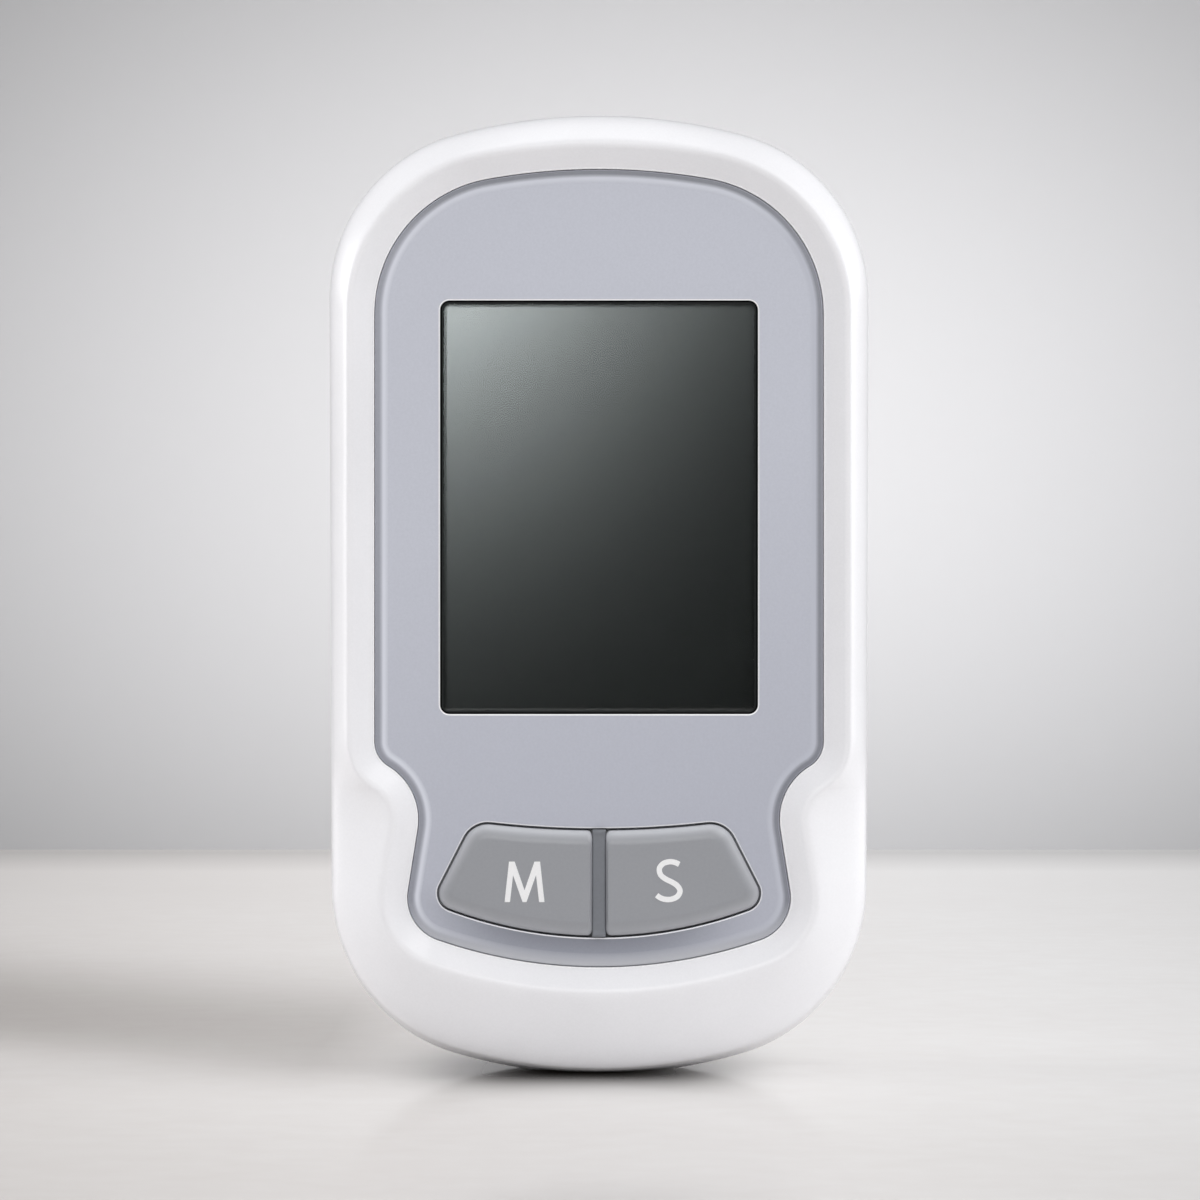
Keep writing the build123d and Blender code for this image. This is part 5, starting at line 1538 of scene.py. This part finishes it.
def stage_material():
    """Honed pale stone with a painted shadow where the meter stands on it, and behind it a painted
    backdrop that glows round the meter and falls off to its corners. A camera behind the backdrop looks
    through it."""
    material, tree, where = start_material("pale_stone_honed")
    axes = add(tree, "SeparateXYZ", inputs={"Vector": where}).outputs
    path = add(tree, "LightPath").outputs
    seen = path["Is Camera Ray"]
    for ray in ("Is Glossy Ray", "Is Transmission Ray"):
        seen = add(tree, "Math", inputs={0: seen, 1: path[ray]})

    # Painted shadow where the meter stands
    foot = [distance_term(tree, axes["X"], FOOT_SHADE_X, FOOT_SHADE_REACH, FOOT_SHADE_SQUARENESS)]
    foot += two_sided(tree, axes["Y"], FOOT_SHADE_START, FOOT_SHADE_FRONT, FOOT_SHADE_BACK)
    under = bell(tree, foot)
    shown = add(tree, "Math", {"operation": "MAXIMUM"}, {0: seen, 1: FOOT_SHADE_BOUNCE})
    shade = add(tree, "Math", MULTIPLY, {0: under, 1: shown})
    stone = stone_colour(tree, where, axes)
    stone = add(tree, "Mix", MIXED, {0: shade, 6: stone, 7: linear(FOOT_SHADE_TONE)})
    gloss = add(tree, "Math", MULTIPLY_ADD, {0: under, 1: -FOOT_GLOSS_LOSS, 2: STONE_GLOSS})

    glow = bell(
        tree,
        [
            distance_term(tree, axes["X"], GLOW_X, GLOW_REACH_X, PLAIN_FALL),
            distance_term(tree, axes["Z"], GLOW_Z, GLOW_REACH_Z, PLAIN_FALL),
        ],
    )
    paint = add(tree, "Mix", MIXED, {0: glow, 6: linear("#000000"), 7: linear(BACKDROP_PAINT)})
    upright = add(tree, "MapRange", inputs=span(axes["Z"], 0.0, COVE))
    colour = add(tree, "Mix", MIXED, {0: upright, 6: stone, 7: paint})

    lying = add(tree, "Math", {"operation": "SUBTRACT"}, {0: 1.0, 1: upright})
    polish = add(tree, "Math", MULTIPLY, {0: lying, 1: STONE_POLISH})
    shader = add(
        tree,
        "BsdfPrincipled",
        inputs={
            "Base Color": colour,
            "Roughness": 0.5,
            "IOR": 1.45,
            "Specular IOR Level": gloss,
            "Coat Weight": polish,
            "Coat Roughness": 0.1,
        },
    )
    plain = add(tree, "Emission", inputs={"Color": stone, "Strength": 1.0})
    lift = add(tree, "Math", MULTIPLY, {0: seen, 1: STONE_LIFT})
    lift = add(tree, "Math", MULTIPLY, {0: lift, 1: lying})
    front = add(tree, "MixShader", inputs={0: lift, 1: shader, 2: plain})
    reverse = add(tree, "NewGeometry").outputs["Backfacing"]
    hidden = add(tree, "Math", MULTIPLY, {0: reverse, 1: path["Is Camera Ray"]})
    clear = add(tree, "BsdfTransparent")
    whole = add(tree, "MixShader", inputs={0: hidden, 1: front, 2: clear})
    add(tree, "OutputMaterial", inputs={"Surface": whole})
    return material


def add_stage():
    """Floor that turns up into the backdrop."""
    profile = [(FLOOR_NEAR, 0.0)]
    for i in range(COVE_STEPS + 1):
        turn = pi / 2 * i / COVE_STEPS
        profile.append((BACKDROP_Y - COVE + COVE * sin(turn), COVE - COVE * cos(turn)))
    profile.append((BACKDROP_Y, BACKDROP_HEIGHT))
    points = [Vector((x, y, z)) * MM for y, z in profile for x in (-FLOOR_HALF, FLOOR_HALF)]
    faces = [(2 * i, 2 * i + 1, 2 * i + 3, 2 * i + 2) for i in range(len(profile) - 1)]
    new_piece("stage_floor", points, faces, stage_material(), ROUND_ANGLE)


def card_material():
    """Softbox face with an even fall of light towards one corner, so that flat gloss shows a gradient."""
    material, tree, where = start_material("gradient_card")
    axes = add(tree, "SeparateXYZ", inputs={"Vector": where}).outputs
    across = add(tree, "Math", MULTIPLY, {0: axes["X"], 1: per_metre(CARD_STEP_X)})
    start = CARD_BRIGHT_Z / CARD_STEP_Z
    down = add(tree, "Math", MULTIPLY_ADD, {0: axes["Z"], 1: -per_metre(CARD_STEP_Z), 2: start})
    terms = []
    for steps, (slope, bend) in ((across, CARD_FALL_X), (down, CARD_FALL_Z)):
        steepness = add(tree, "Math", MULTIPLY_ADD, {0: steps, 1: bend, 2: slope})
        terms.append(add(tree, "Math", MULTIPLY, {0: steps, 1: steepness}))
    strength = add(tree, "Math", MULTIPLY, {0: bell(tree, terms), 1: CARD_STRENGTH})
    glow = add(tree, "Emission", inputs={"Color": linear(CARD_TONE), "Strength": strength})
    add(tree, "OutputMaterial", inputs={"Surface": glow})
    return material


def flag_material():
    """Black velour on a flag: it takes in nearly all light. Its nap is drawn coarse."""
    material, tree, where = start_material("black_velour_flag")
    nap = add(tree, "TexNoise", inputs={"Vector": where, "Scale": per_metre(FLAG_NAP)})
    colour = add(tree, "Mix", MIXED, {0: nap, 6: linear("#020202"), 7: linear("#060606")})
    cloth = add(tree, "BsdfDiffuse", inputs={"Color": colour})
    add(tree, "OutputMaterial", inputs={"Surface": cloth})
    return material


def add_cards():
    """The gradient card and the flag, which neither the camera nor any dull surface sees."""
    for name, y, half, low, high, material in (
        ("gradient_card", CARD_Y, CARD_HALF, CARD_LOW, CARD_HIGH, card_material()),
        ("black_flag", FLAG_Y, FLAG_HALF, CAMERA_Z - FLAG_HALF, CAMERA_Z + FLAG_HALF, flag_material()),
    ):
        corners = ((-half, low), (half, low), (half, high), (-half, high))
        points = [Vector((x, y, z)) * MM for x, z in corners]
        piece = new_piece(name, points, [(0, 1, 2, 3)], material)
        piece.visible_camera = False
        piece.visible_diffuse = False
        piece.visible_shadow = False


def add_light():
    """Soft light from all round, which the camera sees as a plain tone, and the lamps."""
    world = bpy.data.worlds.new("studio")
    bpy.context.scene.world = world
    world.use_nodes = True
    tree = world.node_tree
    tree.nodes.clear()
    sky = add(tree, "Background", inputs={"Color": linear(SKY_TONE), "Strength": SKY_STRENGTH})
    beyond = add(tree, "Background", inputs={"Color": linear(BEYOND_TONE), "Strength": 1.0})
    seen = add(tree, "LightPath").outputs["Is Camera Ray"]
    both = add(tree, "MixShader", inputs={0: seen, 1: sky, 2: beyond})
    add(tree, "OutputWorld", inputs={"Surface": both})
    for lamp in LAMPS:
        area_lamp(*lamp)


add_camera()
add_stage()
add_cards()
add_light()

bpy.context.scene.view_settings.view_transform = "Standard"
